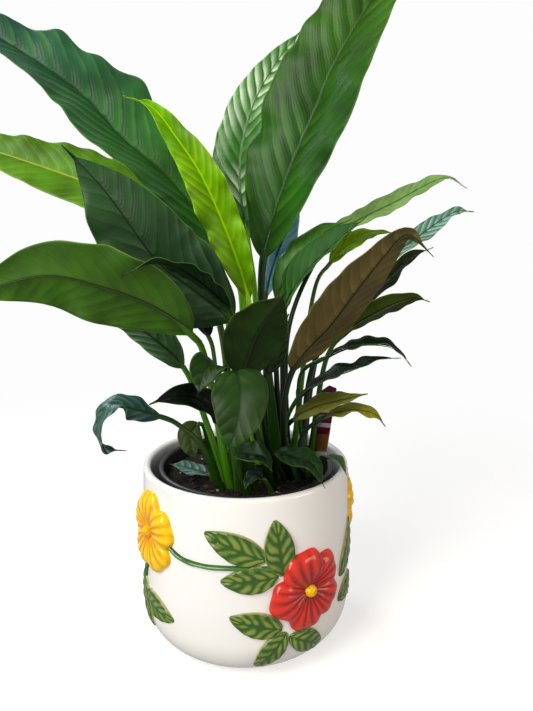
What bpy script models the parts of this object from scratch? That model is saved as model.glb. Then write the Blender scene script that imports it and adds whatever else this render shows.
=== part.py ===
"""A potted peace lily: a moulded ceramic cover pot, a black grow pot standing inside it, the
potting mix, a plant label and thirty-six leaves. Metres, +Z up. The origin is the centre of
the cover pot's flat foot; the richer painted side of the pot faces -Y."""

import math
from dataclasses import dataclass

import bmesh
import bpy
from mathutils import Vector

MM = 0.001
GAP = 0.3 * MM

# Cover pot
POT_HEIGHT = 184 * MM
RIM_RADIUS = 105 * MM
BELLY_RADIUS = 108 * MM
BELLY_HEIGHT = 42 * MM
FOOT_RADIUS = 71 * MM
POT_WALL = 7.5 * MM
POT_FLOOR = 10 * MM

# Grow pot
GROW_CLEARANCE = 7 * MM
GROW_TAPER = 24.5 * MM
GROW_RIM_DROP = 4 * MM
GROW_RIM_WIDTH = 5.5 * MM
GROW_RIM_HEIGHT = 11 * MM
GROW_WALL = 2 * MM
GROW_FLOOR = 3 * MM
DRAIN_RADIUS = 5 * MM
DRAIN_COUNT = 6
DRAIN_RING = 0.62

# Potting mix and label
SOIL_DROP = 11 * MM
SOIL_EDGE_WIDTH = 8
SOIL_EDGE_DROP = 3
LABEL_WIDTH = 19 * MM
LABEL_CARD_HEIGHT = 76 * MM
LABEL_STAKE_HEIGHT = 20 * MM
LABEL_THICKNESS = 1.2 * MM
LABEL_PLACE = (74, 2)
LABEL_TURN = -45.0
LABEL_LEAN = 9.0

# Moulded decoration
RELIEF_SINK = 1.2 * MM
LEAF_RELIEF = 4.5 * MM
PETAL_RELIEF = 9 * MM
FLOWER_RADIUS = 41
FLOWER_EYE_RADIUS = 6
PETALS = 5
SPRAY_TURNS = (0.0, 165.0)
SPRAY_WALL = 142 * MM

TURNED_SIDES = 48
STALK_RADIUS = 1.6
STALK_PER_WIDTH = 0.018
STALK_STATIONS = 4
BLADE_STATIONS = 10
BLADE_THICKNESS = 1.1 * MM
RIB_THICKNESS = 2.2 * MM

GROW_RIM_RADIUS = RIM_RADIUS - POT_WALL - GROW_CLEARANCE
GROW_BASE_RADIUS = GROW_RIM_RADIUS - GROW_TAPER
GROW_TOP = POT_HEIGHT - GROW_RIM_DROP
SOIL_TOP = GROW_TOP - SOIL_DROP
# The sprays are drawn for a straight wall of SPRAY_WALL and the plant for a grow pot rim of CROWN_RIM,
# and both are scaled to the pot in hand.
CROWN_RIM = 90.5 * MM
SPRAY_MM = MM * (POT_HEIGHT - BELLY_HEIGHT) / SPRAY_WALL
CROWN_MM = MM * GROW_RIM_RADIUS / CROWN_RIM

COLOURS = {
    "glaze_white": (0.80, 0.79, 0.76, 0.12),
    "glaze_red": (0.55, 0.02, 0.015, 0.15),
    "glaze_yellow": (0.83, 0.45, 0.01, 0.15),
    "glaze_green": (0.05, 0.12, 0.02, 0.15),
    "grow_pot_black": (0.012, 0.013, 0.015, 0.35),
    "potting_mix": (0.022, 0.014, 0.010, 0.95),
    "label_card": (0.16, 0.02, 0.06, 0.4),
    "leaf_deep": (0.020, 0.070, 0.025, 0.38),
    "leaf_mid": (0.045, 0.150, 0.020, 0.36),
    "leaf_lime": (0.210, 0.400, 0.015, 0.40),
    "leaf_grey": (0.045, 0.100, 0.050, 0.42),
    "leaf_olive": (0.060, 0.065, 0.018, 0.50),
}


@dataclass(frozen=True)
class Leaf:
    """One leaf. The stalk and the blade are runs of (length, rise above level, heading), with headings
    in degrees from +X towards +Y. The facings give which way the blade's upper side looks at its
    base and at its tip, as (heading, rise). Lengths are in mm before the plant is scaled to the pot."""

    name: str
    colour: str
    root: tuple
    width: float
    stalk: tuple
    blade: tuple
    facing: tuple
    tip_facing: tuple = ()
    fold: float = 12.0


LEAVES = (
    Leaf("tall_left", "leaf_deep", (4, 2), 108,
         ((145, 88, 150), (70, 80, 170)),
         ((100, 52, 165), (70, 40, 165), (80, 44, 170), (170, 32, 175)), (285, 60), (280, 45), 22),
    Leaf("tall_right", "leaf_mid", (34, 6), 108,
         ((145, 84, 170), (75, 86, 100)),
         ((80, 72, 25), (75, 66, 15), (65, 65, 10), (170, 58, 5)), (240, 30), (240, 20), 18),
    Leaf("back_glossy", "leaf_mid", (14, 20), 60,
         ((170, 87, 115), (70, 76, 120)),
         ((70, 73, 115), (70, 74, 50), (60, 60, 20), (50, 50, 10)), (250, 25)),
    Leaf("young_lime", "leaf_lime", (0, -14), 46,
         ((150, 88, 80), (30, 80, 310)),
         ((55, 73, 195), (65, 67, 185), (45, 57, 175), (35, 50, 170), (30, 22, 170)), (260, 25), (), 26),
    Leaf("back_left", "leaf_lime", (-12, 22), 74,
         ((145, 83, 145), (80, 62, 150)),
         ((95, 40, 160), (75, 24, 170), (170, 18, 180)), (280, 32)),
    Leaf("dark_left", "leaf_deep", (-12, -22), 84,
         ((135, 86, 310), (30, 70, 240)),
         ((45, 40, 205), (45, 40, 195), (70, 55, 190), (50, 48, 190)), (280, 8)),
    Leaf("broad_left", "leaf_mid", (-14, -42), 66,
         ((130, 78, 225), (35, 58, 230)),
         ((40, 38, 215), (45, 24, 205), (50, 12, 195), (70, -16, 190)), (95, 12), (), 8),
    Leaf("arched_small", "leaf_grey", (-4, -39), 30,
         ((145, 84, 260), (35, 68, 250)),
         ((40, 40, 225), (35, 26, 230), (25, 5, 225), (22, -22, 210)), (70, 70)),
    Leaf("grey_left", "leaf_grey", (-18, -30), 44,
         ((85, 72, 175), (40, 68, 205)),
         ((35, 48, 205), (35, 36, 200), (35, 10, 190)), (295, 50)),
    Leaf("bent_tip", "leaf_mid", (6, -44), 32,
         ((115, 78, 215), (15, 45, 240)),
         ((25, 20, 245), (30, -50, 245)), (270, 60), (265, 18), 5),
    Leaf("limp_left", "leaf_grey", (-23, -48), 30,
         ((50, 68, 215), (35, 48, 210), (20, 32, 215)),
         ((32, 24, 215), (20, 18, 225), (20, -50, 230), (20, -75, 50), (20, -18, 25)),
         (260, 45), (195, 12), 5),
    Leaf("dark_low", "leaf_deep", (-6, -50), 34,
         ((40, 74, 255), (35, 72, 250)),
         ((40, 44, 220), (25, 20, 215), (25, -10, 205)), (280, 54)),
    Leaf("front_brown", "leaf_olive", (27, -44), 54,
         ((80, 72, 220), (45, 68, 245)),
         ((40, 58, 295), (25, 50, 305), (40, 45, 310)), (85, 30)),
    Leaf("front_drooping", "leaf_grey", (10, -50), 46,
         ((70, 74, 245), (70, 60, 260)),
         ((24, -14, 280), (22, -50, 270), (18, -72, 225), (20, -70, 165)), (270, 54), (270, 12), 5),
    Leaf("front_small", "leaf_grey", (3, -60), 22,
         ((45, 70, 235),),
         ((20, 20, 325), (12, -10, 335), (14, -60, 335)), (270, 54), (), 20),
    Leaf("rim_front", "leaf_deep", (40, -28), 24,
         ((40, 62, 240),),
         ((25, 6, 315), (22, -4, 315), (24, -42, 305)), (280, 54), (300, 18)),
    Leaf("rim_right", "leaf_deep", (70, -13), 18,
         ((15, 56, 255), (20, 42, 300)),
         ((15, 24, 305), (12, -4, 310), (15, -45, 310)), (315, 80), (330, 45)),
    Leaf("soil_sprout", "leaf_grey", (26, -52), 15,
         ((16, 60, 215),),
         ((15, 38, 225), (11, -16, 235), (10, -50, 240)), (260, 54)),
    Leaf("fallen", "leaf_grey", (-32, -28), 20,
         ((8, 54, 160),),
         ((18, 5, 150), (15, 4, 155), (15, 0, 155)), (270, 72)),
    Leaf("hanging_back", "leaf_olive", (-34, 6), 26,
         ((45, 78, 195), (10, 48, 220)),
         ((14, -34, 225), (14, -72, 285), (14, -72, 335)), (265, 26), (265, 6), 0),
    Leaf("brown_right", "leaf_olive", (45, -21), 48,
         ((70, 66, 255), (65, 66, 285)),
         ((60, 48, 320), (40, 50, 315), (35, 50, 320), (25, 42, 325), (25, -40, 340)), (105, 35)),
    Leaf("folded_right", "leaf_deep", (40, -6), 42,
         ((135, 85, 255), (40, 80, 285)),
         ((33, 60, 340), (30, 48, 350), (52, 42, 350)), (225, 45), (), 28),
    Leaf("folded_back", "leaf_mid", (36, 14), 36,
         ((140, 87, 220), (40, 84, 280)),
         ((43, 60, 15), (38, 44, 15), (34, 28, 10)), (245, 38)),
    Leaf("blue_back", "leaf_grey", (26, 24), 34,
         ((145, 86, 140), (35, 82, 60)),
         ((40, 70, 45), (35, 64, 30), (43, 66, 25)), (240, 18), (), 5),
    Leaf("slender_right", "leaf_grey", (44, 20), 28,
         ((145, 90, 180), (100, 66, 10)),
         ((37, 34, 5), (39, 26, 5), (57, 26, 5), (28, -20, 5)), (265, 55)),
    Leaf("lime_back", "leaf_lime", (50, 26), 24,
         ((175, 83, 25), (45, 62, 25)),
         ((31, 42, 20), (27, 24, 15), (25, 0, 10)), (270, 54)),
    Leaf("far_right", "leaf_grey", (58, 14), 26,
         ((140, 81, 10), (100, 50, 5)),
         ((40, 38, 10), (28, 35, 10), (21, 30, 5), (19, 0, 5)), (245, 50)),
    Leaf("edge_right", "leaf_mid", (57, 3), 34,
         ((115, 79, 295), (62, 54, 325)),
         ((49, 48, 340), (32, 45, 345), (22, 26, 350)), (115, 46)),
    Leaf("olive_right", "leaf_olive", (66, 3), 30,
         ((120, 78, 300), (45, 54, 320)),
         ((30, 36, 335), (24, 28, 340), (15, 18, 345), (14, -15, 350)), (100, 40)),
    Leaf("hooked_right", "leaf_deep", (63, -9), 24,
         ((100, 82, 225), (38, 46, 325)),
         ((30, 28, 335), (23, 8, 350), (21, -12, 350), (21, -48, 350)), (270, 80)),
    Leaf("low_right_upper", "leaf_deep", (53, -25), 26,
         ((55, 74, 210), (40, 66, 310)),
         ((35, 40, 330), (28, 24, 340), (25, 26, 345), (21, 5, 350)), (245, 76)),
    Leaf("low_right_middle", "leaf_olive", (62, -20), 26,
         ((50, 62, 195), (23, 65, 320)),
         ((26, 36, 330), (23, 20, 345), (32, 18, 345)), (260, 60)),
    Leaf("low_right_lower", "leaf_olive", (65, -29), 22,
         ((45, 78, 170), (34, 48, 335)),
         ((24, 22, 340), (14, 5, 345), (14, -12, 345), (15, -48, 350)), (270, 74)),
    Leaf("behind_front", "leaf_grey", (30, -30), 26,
         ((80, 76, 230), (40, 75, 290)),
         ((35, 65, 315), (28, 68, 335)), (250, 25), (), 5),
    Leaf("inner_back_left", "leaf_lime", (0, 18), 30,
         ((170, 81, 145), (30, 70, 130)),
         ((42, 58, 135), (55, 56, 140)), (285, 30)),
    Leaf("inner_grey", "leaf_grey", (-20, -18), 20,
         ((120, 85, 215), (28, 76, 220)),
         ((22, 56, 220), (24, 46, 200)), (70, 44)),
)

# Relief leaves: (bearing of the base, height above the belly, heading on the wall, length, width).
# Heading 0 runs towards greater bearings and 90 runs up the wall. The lengths are in spray units.
RELIEF_LEAVES = (
    (282, 84, 156, 64, 29),
    (290, 66, 98, 57, 31),
    (288, 68, 184, 55, 28),
    (290, 14, 163, 53, 27),
    (292, 10, 228, 47, 24),
    (293, 5, 332, 46, 25),
    (330, 37, 52, 62, 25),
    (328, 14, 15, 44, 22),
    (204, 18, 352, 55, 26),
    (200, 40, 292, 60, 20),
)
# Relief stems: the points that each passes through, as (bearing, height above the belly)
RELIEF_STEMS = (
    ((222, 95), (236, 80), (250, 77), (268, 78), (286, 76)),
    ((212, 60), (205, 42), (203, 20)),
)
RELIEF_STEM_WIDTH = 5
RELIEF_STEM_STEP = 0.5
# Relief flowers: (bearing, height above the belly, turn of the first petal, petal colour)
RELIEF_FLOWERS = (
    (304, 47, 102, "glaze_red"),
    (213, 90, 90, "glaze_yellow"),
)


def clear_scene():
    for old in list(bpy.data.objects):
        bpy.data.objects.remove(old, do_unlink=True)


def material(name):
    """The named finish, made once."""
    made = bpy.data.materials.get(name)
    if made:
        return made
    made = bpy.data.materials.new(name)
    made.use_nodes = True
    shader = made.node_tree.nodes["Principled BSDF"]
    red, green, blue, roughness = COLOURS[name]
    shader.inputs["Base Color"].default_value = (red, green, blue, 1)
    shader.inputs["Roughness"].default_value = roughness
    shader.inputs["Metallic"].default_value = 0
    return made


def add_object(name, mesh_data, finish, smooth=True):
    """Turns a bmesh into a named object with one finish."""
    bmesh.ops.recalc_face_normals(mesh_data, faces=mesh_data.faces)
    mesh = bpy.data.meshes.new(name)
    mesh_data.to_mesh(mesh)
    mesh_data.free()
    mesh.materials.append(material(finish))
    if smooth:
        mesh.shade_smooth()
        mesh.set_sharp_from_angle(angle=math.radians(40))
    made = bpy.data.objects.new(name, mesh)
    bpy.context.scene.collection.objects.link(made)
    return made


def direction(heading, rise):
    """Unit vector for a heading from +X and a rise above level, in degrees."""
    turn, up = math.radians(heading), math.radians(rise)
    return Vector((math.cos(up) * math.cos(turn), math.cos(up) * math.sin(turn), math.sin(up)))


def smooth_route(points, station):
    """The place on a smooth curve through the points, with station 1 at the second point."""
    first = min(int(station), len(points) - 2)
    t = station - first
    start, stop = points[first], points[first + 1]
    before = points[first - 1] if first else start * 2 - stop
    after = points[first + 2] if first + 2 < len(points) else stop * 2 - start
    bend = (before - start * 3 + stop * 3 - after) * -1 * t ** 3
    slope = (before * 2 - start * 5 + stop * 4 - after) * t ** 2
    return (start * 2 + (stop - before) * t + slope + bend) / 2


def turned(outline, sides=TURNED_SIDES):
    """Spins an outline of (radius, height) about the Z axis into a closed solid."""
    solid = bmesh.new()
    ring = [solid.verts.new((radius, 0, height)) for radius, height in outline]
    edges = [solid.edges.new(pair) for pair in zip(ring, ring[1:])]
    bmesh.ops.spin(solid, geom=ring + edges, cent=(0, 0, 0), axis=(0, 0, 1), dvec=(0, 0, 0),
                   angle=math.tau, steps=sides, use_merge=True, use_duplicate=False)
    bmesh.ops.remove_doubles(solid, verts=solid.verts, dist=1e-6)
    return solid


# --- Cover pot ---

def outer_radius(height):
    """The cover pot's outer radius at a height: a quarter ellipse up to the belly, then a slow taper."""
    if height < BELLY_HEIGHT:
        share = 1 - height / BELLY_HEIGHT
        return FOOT_RADIUS + (BELLY_RADIUS - FOOT_RADIUS) * math.sqrt(max(0.0, 1 - share * share))
    share = (height - BELLY_HEIGHT) / (POT_HEIGHT - BELLY_HEIGHT)
    return BELLY_RADIUS - (BELLY_RADIUS - RIM_RADIUS) * share * share


def cover_pot_outline():
    """From the middle of the foot, up the outside, over the lip and down to the inner floor."""
    points = [(0.0, 0.0)]
    bend = BELLY_RADIUS - FOOT_RADIUS
    for step in range(6):
        angle = math.pi / 2 * step / 6
        points.append((FOOT_RADIUS + bend * math.sin(angle), BELLY_HEIGHT * (1 - math.cos(angle))))
    lip = POT_WALL / 2
    straight = [BELLY_HEIGHT + (POT_HEIGHT - lip - BELLY_HEIGHT) * step / 5 for step in range(6)]
    points += [(outer_radius(height), height) for height in straight]
    top_radius = outer_radius(straight[-1]) - lip
    for step in range(1, 5):
        angle = math.pi * step / 5
        points.append((top_radius + lip * math.cos(angle), straight[-1] + lip * math.sin(angle)))
    points += [(outer_radius(height) - POT_WALL, height) for height in reversed(straight)]
    points.append((outer_radius((BELLY_HEIGHT + POT_FLOOR) / 2) - POT_WALL, (BELLY_HEIGHT + POT_FLOOR) / 2))
    points.append((outer_radius(POT_FLOOR) - POT_WALL, POT_FLOOR))
    points.append((0.0, POT_FLOOR))
    return points


def wall_point(bearing, climb, out):
    """A point standing off the pot's wall. Climb is the height above the belly, or below it the
    length measured down the rounded lower wall."""
    bend = BELLY_RADIUS - FOOT_RADIUS
    if climb >= 0:
        height = BELLY_HEIGHT + climb
        radius, lean, dip = outer_radius(height), 1.0, 0.0
    else:
        angle = -2 * climb / (bend + BELLY_HEIGHT)
        radius = FOOT_RADIUS + bend * math.cos(angle)
        height = BELLY_HEIGHT * (1 - math.sin(angle))
        lean, dip = math.cos(angle) * BELLY_HEIGHT, math.sin(angle) * bend
    size = math.hypot(lean, dip)
    radius += out * lean / size
    height -= out * dip / size
    turn = math.radians(bearing)
    return Vector((radius * math.cos(turn), radius * math.sin(turn), height))


def around(bearing, climb, along, across, heading):
    """The wall place reached from (bearing, climb) by going along a heading and then across it."""
    turn = math.radians(heading)
    sideways = along * math.cos(turn) - across * math.sin(turn)
    upwards = along * math.sin(turn) + across * math.cos(turn)
    return bearing + math.degrees(sideways / BELLY_RADIUS), climb + upwards


def relief_sheet(rows):
    """A closed shell from rows of (bearing, climb, height): domed outside, sunk into the wall behind."""
    shell = bmesh.new()
    tops = [[shell.verts.new(wall_point(*place)) for place in row] for row in rows]
    backs = [[shell.verts.new(wall_point(place[0], place[1], -RELIEF_SINK)) for place in row] for row in rows]
    last = len(rows) - 1
    for one, two in zip(range(last), range(1, last + 1)):
        for a in range(len(rows[0]) - 1):
            shell.faces.new((tops[one][a], tops[two][a], tops[two][a + 1], tops[one][a + 1]))
            shell.faces.new((backs[one][a], backs[one][a + 1], backs[two][a + 1], backs[two][a]))
        for side in (0, -1):
            shell.faces.new((tops[one][side], tops[two][side], backs[two][side], backs[one][side]))
    for end in (0, last):
        for a in range(len(rows[0]) - 1):
            shell.faces.new((tops[end][a], tops[end][a + 1], backs[end][a + 1], backs[end][a]))
    return shell


def relief_leaf(bearing, climb, heading, length, width):
    """A moulded leaf lying on the wall, with a sunk midrib between two rounded halves."""
    rows = []
    for share in (0.0, 0.15, 0.35, 0.6, 0.82, 1.0):
        half = max(width / 2 * math.sin(math.pi * share ** 0.85) ** 0.75 if 0 < share < 1 else 0, 0.8)
        swell = LEAF_RELIEF * (0.35 + 0.65 * math.sin(math.pi * share))
        row = []
        for side, lift in ((-1, 0.35), (-0.5, 1.0), (0, 0.6), (0.5, 1.0), (1, 0.35)):
            place = around(bearing, climb * SPRAY_MM, share * length * SPRAY_MM, side * half * SPRAY_MM,
                           heading)
            row.append((*place, swell * lift))
        rows.append(row)
    return relief_sheet(rows)


def relief_stem(points):
    """A moulded stem along the wall, on a smooth curve through its points."""
    knots = [Vector((bearing, climb, 0)) for bearing, climb in points]
    count = round((len(knots) - 1) / RELIEF_STEM_STEP)
    route = [smooth_route(knots, step * RELIEF_STEM_STEP) for step in range(count + 1)]
    rows = []
    for number, spot in enumerate(route):
        run = route[min(number + 1, count)] - route[max(number - 1, 0)]
        heading = math.degrees(math.atan2(run.y * SPRAY_MM, math.radians(run.x) * BELLY_RADIUS))
        row = []
        for side, lift in ((-1, 0.2), (-0.45, 0.7), (0.45, 0.7), (1, 0.2)):
            place = around(spot.x, spot.y * SPRAY_MM, 0, side * RELIEF_STEM_WIDTH / 2 * SPRAY_MM, heading)
            row.append((*place, LEAF_RELIEF * lift))
        rows.append(row)
    return relief_sheet(rows)


def relief_flower(bearing, climb, first_petal):
    """A moulded five-petalled flower: rings of points round the eye, lobed at the edge."""
    steps = PETALS * 6
    rings = ((0.2, 0.75), (0.5, 1.0), (0.82, 0.85), (1.0, 0.3))
    shell = bmesh.new()
    layers = []
    for share, lift in rings:
        tops, backs = [], []
        for step in range(steps):
            angle = math.tau * step / steps
            lobe = abs(math.cos(PETALS * angle / 2))
            reach = FLOWER_RADIUS * SPRAY_MM * share * (1 - 0.3 * share * (1 - lobe ** 0.6))
            height = PETAL_RELIEF * lift * (0.6 + 0.4 * lobe)
            spot = around(bearing, climb * SPRAY_MM, reach, 0, first_petal + math.degrees(angle))
            tops.append(shell.verts.new(wall_point(*spot, height)))
            backs.append(shell.verts.new(wall_point(*spot, -RELIEF_SINK)))
        layers.append((tops, backs))
    for (tops, backs), (next_tops, next_backs) in zip(layers, layers[1:]):
        for a in range(steps):
            b = (a + 1) % steps
            shell.faces.new((tops[a], next_tops[a], next_tops[b], tops[b]))
            shell.faces.new((backs[a], backs[b], next_backs[b], next_backs[a]))
    middle = wall_point(bearing, climb * SPRAY_MM, PETAL_RELIEF * 0.55)
    middle_back = wall_point(bearing, climb * SPRAY_MM, -RELIEF_SINK)
    for ring, centre in ((layers[0][0], middle), (layers[0][1], middle_back)):
        hub = shell.verts.new(centre)
        for a in range(steps):
            shell.faces.new((hub, ring[a], ring[(a + 1) % steps]))
    outer_tops, outer_backs = layers[-1]
    for a in range(steps):
        b = (a + 1) % steps
        shell.faces.new((outer_tops[a], outer_backs[a], outer_backs[b], outer_tops[b]))
    return shell


def flower_eye(bearing, climb):
    """The round button in the middle of a flower."""
    shell = bmesh.new()
    bmesh.ops.create_icosphere(shell, subdivisions=2, radius=FLOWER_EYE_RADIUS * SPRAY_MM)
    centre = wall_point(bearing, climb * SPRAY_MM, 0.4 * PETAL_RELIEF)
    bmesh.ops.translate(shell, verts=shell.verts, vec=centre)
    return shell


def build_cover_pot():
    """The glazed pot, one piece with its moulded flowers, leaves and stems."""
    pot = add_object("cover_pot", turned(cover_pot_outline()), "glaze_white")
    moulding = bpy.data.collections.new("moulding")
    bpy.context.scene.collection.children.link(moulding)
    pieces = []
    for number, turn in enumerate(SPRAY_TURNS):
        for leaf, (bearing, *rest) in enumerate(RELIEF_LEAVES):
            pieces.append((f"spray_{number}_leaf_{leaf}", relief_leaf(bearing + turn, *rest), "glaze_green"))
        for stem, points in enumerate(RELIEF_STEMS):
            moved = tuple((bearing + turn, climb) for bearing, climb in points)
            pieces.append((f"spray_{number}_stem_{stem}", relief_stem(moved), "glaze_green"))
        for bearing, climb, first_petal, colour in RELIEF_FLOWERS:
            place = (bearing + turn, climb)
            pieces.append((f"spray_{number}_{colour}", relief_flower(*place, first_petal), colour))
            pieces.append((f"spray_{number}_{colour}_eye", flower_eye(*place), "glaze_yellow"))
    for name, shell, colour in pieces:
        piece = add_object(name, shell, colour)
        bpy.context.scene.collection.objects.unlink(piece)
        moulding.objects.link(piece)
        piece.hide_render = True
        piece.display_type = "WIRE"
    join = pot.modifiers.new("moulding", "BOOLEAN")
    join.operation = "UNION"
    join.solver = "EXACT"
    join.operand_type = "COLLECTION"
    join.collection = moulding
    join.material_mode = "TRANSFER"
    return pot


# --- Grow pot, potting mix and label ---

def grow_inner_radius(height):
    """The grow pot's inner radius at a height, on its straight taper."""
    share = (height - POT_FLOOR) / (GROW_TOP - POT_FLOOR)
    top_inner = GROW_RIM_RADIUS - GROW_RIM_WIDTH
    return GROW_BASE_RADIUS - GROW_WALL + (top_inner - GROW_BASE_RADIUS + GROW_WALL) * share


def build_grow_pot():
    """The thin black pot that the plant grows in, with a thick rim and drain holes."""
    base = POT_FLOOR + GAP
    inner_floor = base + GROW_FLOOR
    skirt = GROW_TOP - GROW_RIM_HEIGHT
    edge = GROW_RIM_WIDTH / 4
    outline = [
        (0.0, base),
        (grow_inner_radius(base) + GROW_WALL, base),
        (grow_inner_radius(skirt) + GROW_WALL, skirt),
        (GROW_RIM_RADIUS, skirt),
        (GROW_RIM_RADIUS, GROW_TOP - edge),
        (GROW_RIM_RADIUS - edge, GROW_TOP),
        (GROW_RIM_RADIUS - GROW_RIM_WIDTH + edge, GROW_TOP),
        (grow_inner_radius(GROW_TOP - edge), GROW_TOP - edge),
        (grow_inner_radius(inner_floor), inner_floor),
        (0.0, inner_floor),
    ]
    pot = add_object("grow_pot", turned(outline), "grow_pot_black")
    for number in range(DRAIN_COUNT):
        drill = bmesh.new()
        bmesh.ops.create_cone(drill, cap_ends=True, segments=12, radius1=DRAIN_RADIUS, radius2=DRAIN_RADIUS,
                              depth=3 * GROW_FLOOR)
        place = direction(360 * number / DRAIN_COUNT, 0) * GROW_BASE_RADIUS * DRAIN_RING
        place.z = base + GROW_FLOOR / 2
        bmesh.ops.translate(drill, verts=drill.verts, vec=place)
        cutter = add_object(f"drain_cutter_{number}", drill, "grow_pot_black")
        cutter.hide_render = True
        cutter.display_type = "WIRE"
        cut = pot.modifiers.new(f"drain_{number}", "BOOLEAN")
        cut.operation = "DIFFERENCE"
        cut.solver = "EXACT"
        cut.object = cutter
    return pot


def build_potting_mix():
    """The potting mix, flat in the middle and slightly drawn down at the wall."""
    base = POT_FLOOR + 2 * GAP + GROW_FLOOR
    edge_drop = SOIL_EDGE_DROP * CROWN_MM
    flat = grow_inner_radius(SOIL_TOP) - SOIL_EDGE_WIDTH * CROWN_MM
    outline = [
        (0.0, base),
        (grow_inner_radius(base) - GAP, base),
        (grow_inner_radius(SOIL_TOP - edge_drop) - GAP, SOIL_TOP - edge_drop),
        (flat, SOIL_TOP),
        (0.0, SOIL_TOP),
    ]
    return add_object("potting_mix", turned(outline), "potting_mix")


def build_label():
    """The care label: a slanted-top card on a pointed stake, pushed in beside the leaves."""
    half = LABEL_WIDTH / 2
    stake_half = half * 0.45
    shoulder = LABEL_STAKE_HEIGHT
    top = shoulder + LABEL_CARD_HEIGHT
    slant = LABEL_WIDTH * 0.5
    outline = [
        (-stake_half, 0.0), (stake_half, 0.0), (stake_half, shoulder - 6 * MM), (half, shoulder),
        (half, top - 1 * MM), (half - 1 * MM, top), (-half + slant, top), (-half, top - slant),
        (-half, shoulder), (-stake_half, shoulder - 6 * MM),
    ]
    card = bmesh.new()
    front = [card.verts.new((x, -LABEL_THICKNESS / 2, z)) for x, z in outline]
    face = card.faces.new(front)
    back = bmesh.ops.extrude_face_region(card, geom=[face])
    moved = [item for item in back["geom"] if isinstance(item, bmesh.types.BMVert)]
    bmesh.ops.translate(card, verts=moved, vec=(0, LABEL_THICKNESS, 0))
    label = add_object("plant_label", card, "label_card", smooth=False)
    across, back = LABEL_PLACE
    label.location = (across * CROWN_MM, back * CROWN_MM, SOIL_TOP + 2 * GAP)
    label.rotation_euler = (0, math.radians(LABEL_LEAN), math.radians(LABEL_TURN))
    return label


# --- Leaves ---

def run_ends(leaf):
    """The points where the runs of a leaf end, from its root on the potting mix."""
    spot = Vector((leaf.root[0] * CROWN_MM, leaf.root[1] * CROWN_MM, SOIL_TOP + GAP))
    points = [spot]
    for length, rise, heading in leaf.stalk + leaf.blade:
        spot = spot + direction(heading, rise) * length * CROWN_MM
        points.append(spot)
    return points


def blade_share(share):
    """The half width of a blade along its length, as a share of the widest place."""
    body = min(share / 0.93, 1.0)
    swell = math.sin(math.pi * body ** 0.82) ** 0.8 if body < 1 else 0.0
    drip_tip = 0.09 * min(1.0, (1 - share) / 0.13) if share > 0.5 else 0.0
    return max(swell, drip_tip)


def even_places(points, first, last, count):
    """Places on the smooth route from one station to another, the same length apart."""
    fine = 16 * (last - first)
    spots = [smooth_route(points, first + (last - first) * step / fine) for step in range(fine + 1)]
    reached = [0.0]
    for one, two in zip(spots, spots[1:]):
        reached.append(reached[-1] + (two - one).length)
    places = []
    step = 0
    for number in range(count + 1):
        wanted = reached[-1] * number / count
        while step < fine - 1 and reached[step + 1] < wanted:
            step += 1
        share = (wanted - reached[step]) / (reached[step + 1] - reached[step])
        places.append(spots[step].lerp(spots[step + 1], min(share, 1.0)))
    return places


def build_leaf(leaf):
    """One leaf: a six-sided stalk that flattens into a folded blade and ends in a drawn-out tip."""
    points = run_ends(leaf)
    neck = len(leaf.stalk)
    route = even_places(points, 0, neck, STALK_STATIONS)[:-1]
    shares = [-1.0] * len(route)
    route += even_places(points, neck, len(points) - 1, BLADE_STATIONS)
    shares += [step / BLADE_STATIONS for step in range(BLADE_STATIONS + 1)]
    stalk_radius = (STALK_RADIUS + STALK_PER_WIDTH * leaf.width) * CROWN_MM
    base_facing = direction(*leaf.facing)
    tip_facing = direction(*(leaf.tip_facing or leaf.facing))
    solid = bmesh.new()
    rings = []
    for number, (spot, share) in enumerate(zip(route, shares)):
        if number == 0:
            along = Vector((0, 0, 1))
        else:
            along = (route[min(number + 1, len(route) - 1)] - route[number - 1]).normalized()
        blend = max(share, 0.0)
        side = along.cross(base_facing.lerp(tip_facing, blend)).normalized()
        face = side.cross(along)
        flat = min(1.0, blend * 5)
        half = leaf.width / 2 * CROWN_MM * blade_share(share) if share >= 0 else 0.0
        stalk_here = stalk_radius * (1 - 0.8 * blend)
        reach = max(half * math.cos(math.radians(leaf.fold)), stalk_here * 0.87)
        lift = half * math.sin(math.radians(leaf.fold)) * flat
        edge = stalk_here * 0.5 * (1 - flat) + BLADE_THICKNESS / 2 * flat
        rib = stalk_here * (1 - flat) + RIB_THICKNESS / 2 * flat * (1 - 0.5 * blend)
        ring = []
        for across, up in ((-reach, lift + edge), (0, rib), (reach, lift + edge),
                           (reach, lift - edge), (0, -rib), (-reach, lift - edge)):
            ring.append(solid.verts.new(spot + side * across + face * up))
        rings.append(ring)
    for low, high in zip(rings, rings[1:]):
        for a in range(6):
            b = (a + 1) % 6
            solid.faces.new((low[a], low[b], high[b], high[a]))
    for ring in (rings[0], rings[-1]):
        solid.faces.new(ring)
    bmesh.ops.triangulate(solid, faces=solid.faces)
    return add_object(f"leaf_{leaf.name}", solid, leaf.colour)


def main():
    clear_scene()
    build_cover_pot()
    build_grow_pot()
    build_potting_mix()
    build_label()
    for leaf in LEAVES:
        build_leaf(leaf)


main()
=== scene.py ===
"""A potted peace lily, finished: a glazed cover pot with moulded and painted flowers, a black grow
pot, potting mix with bark and perlite, a printed plant label and thirty-six leaves. Metres, +Z up.
The origin is the centre of the cover pot's foot, and its richer painted side faces -Y."""

import logging
import math
import random
from collections.abc import Callable
from dataclasses import dataclass
from enum import Enum
from functools import partial
from typing import Any

import bmesh
import bpy
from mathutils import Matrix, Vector, noise


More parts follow.
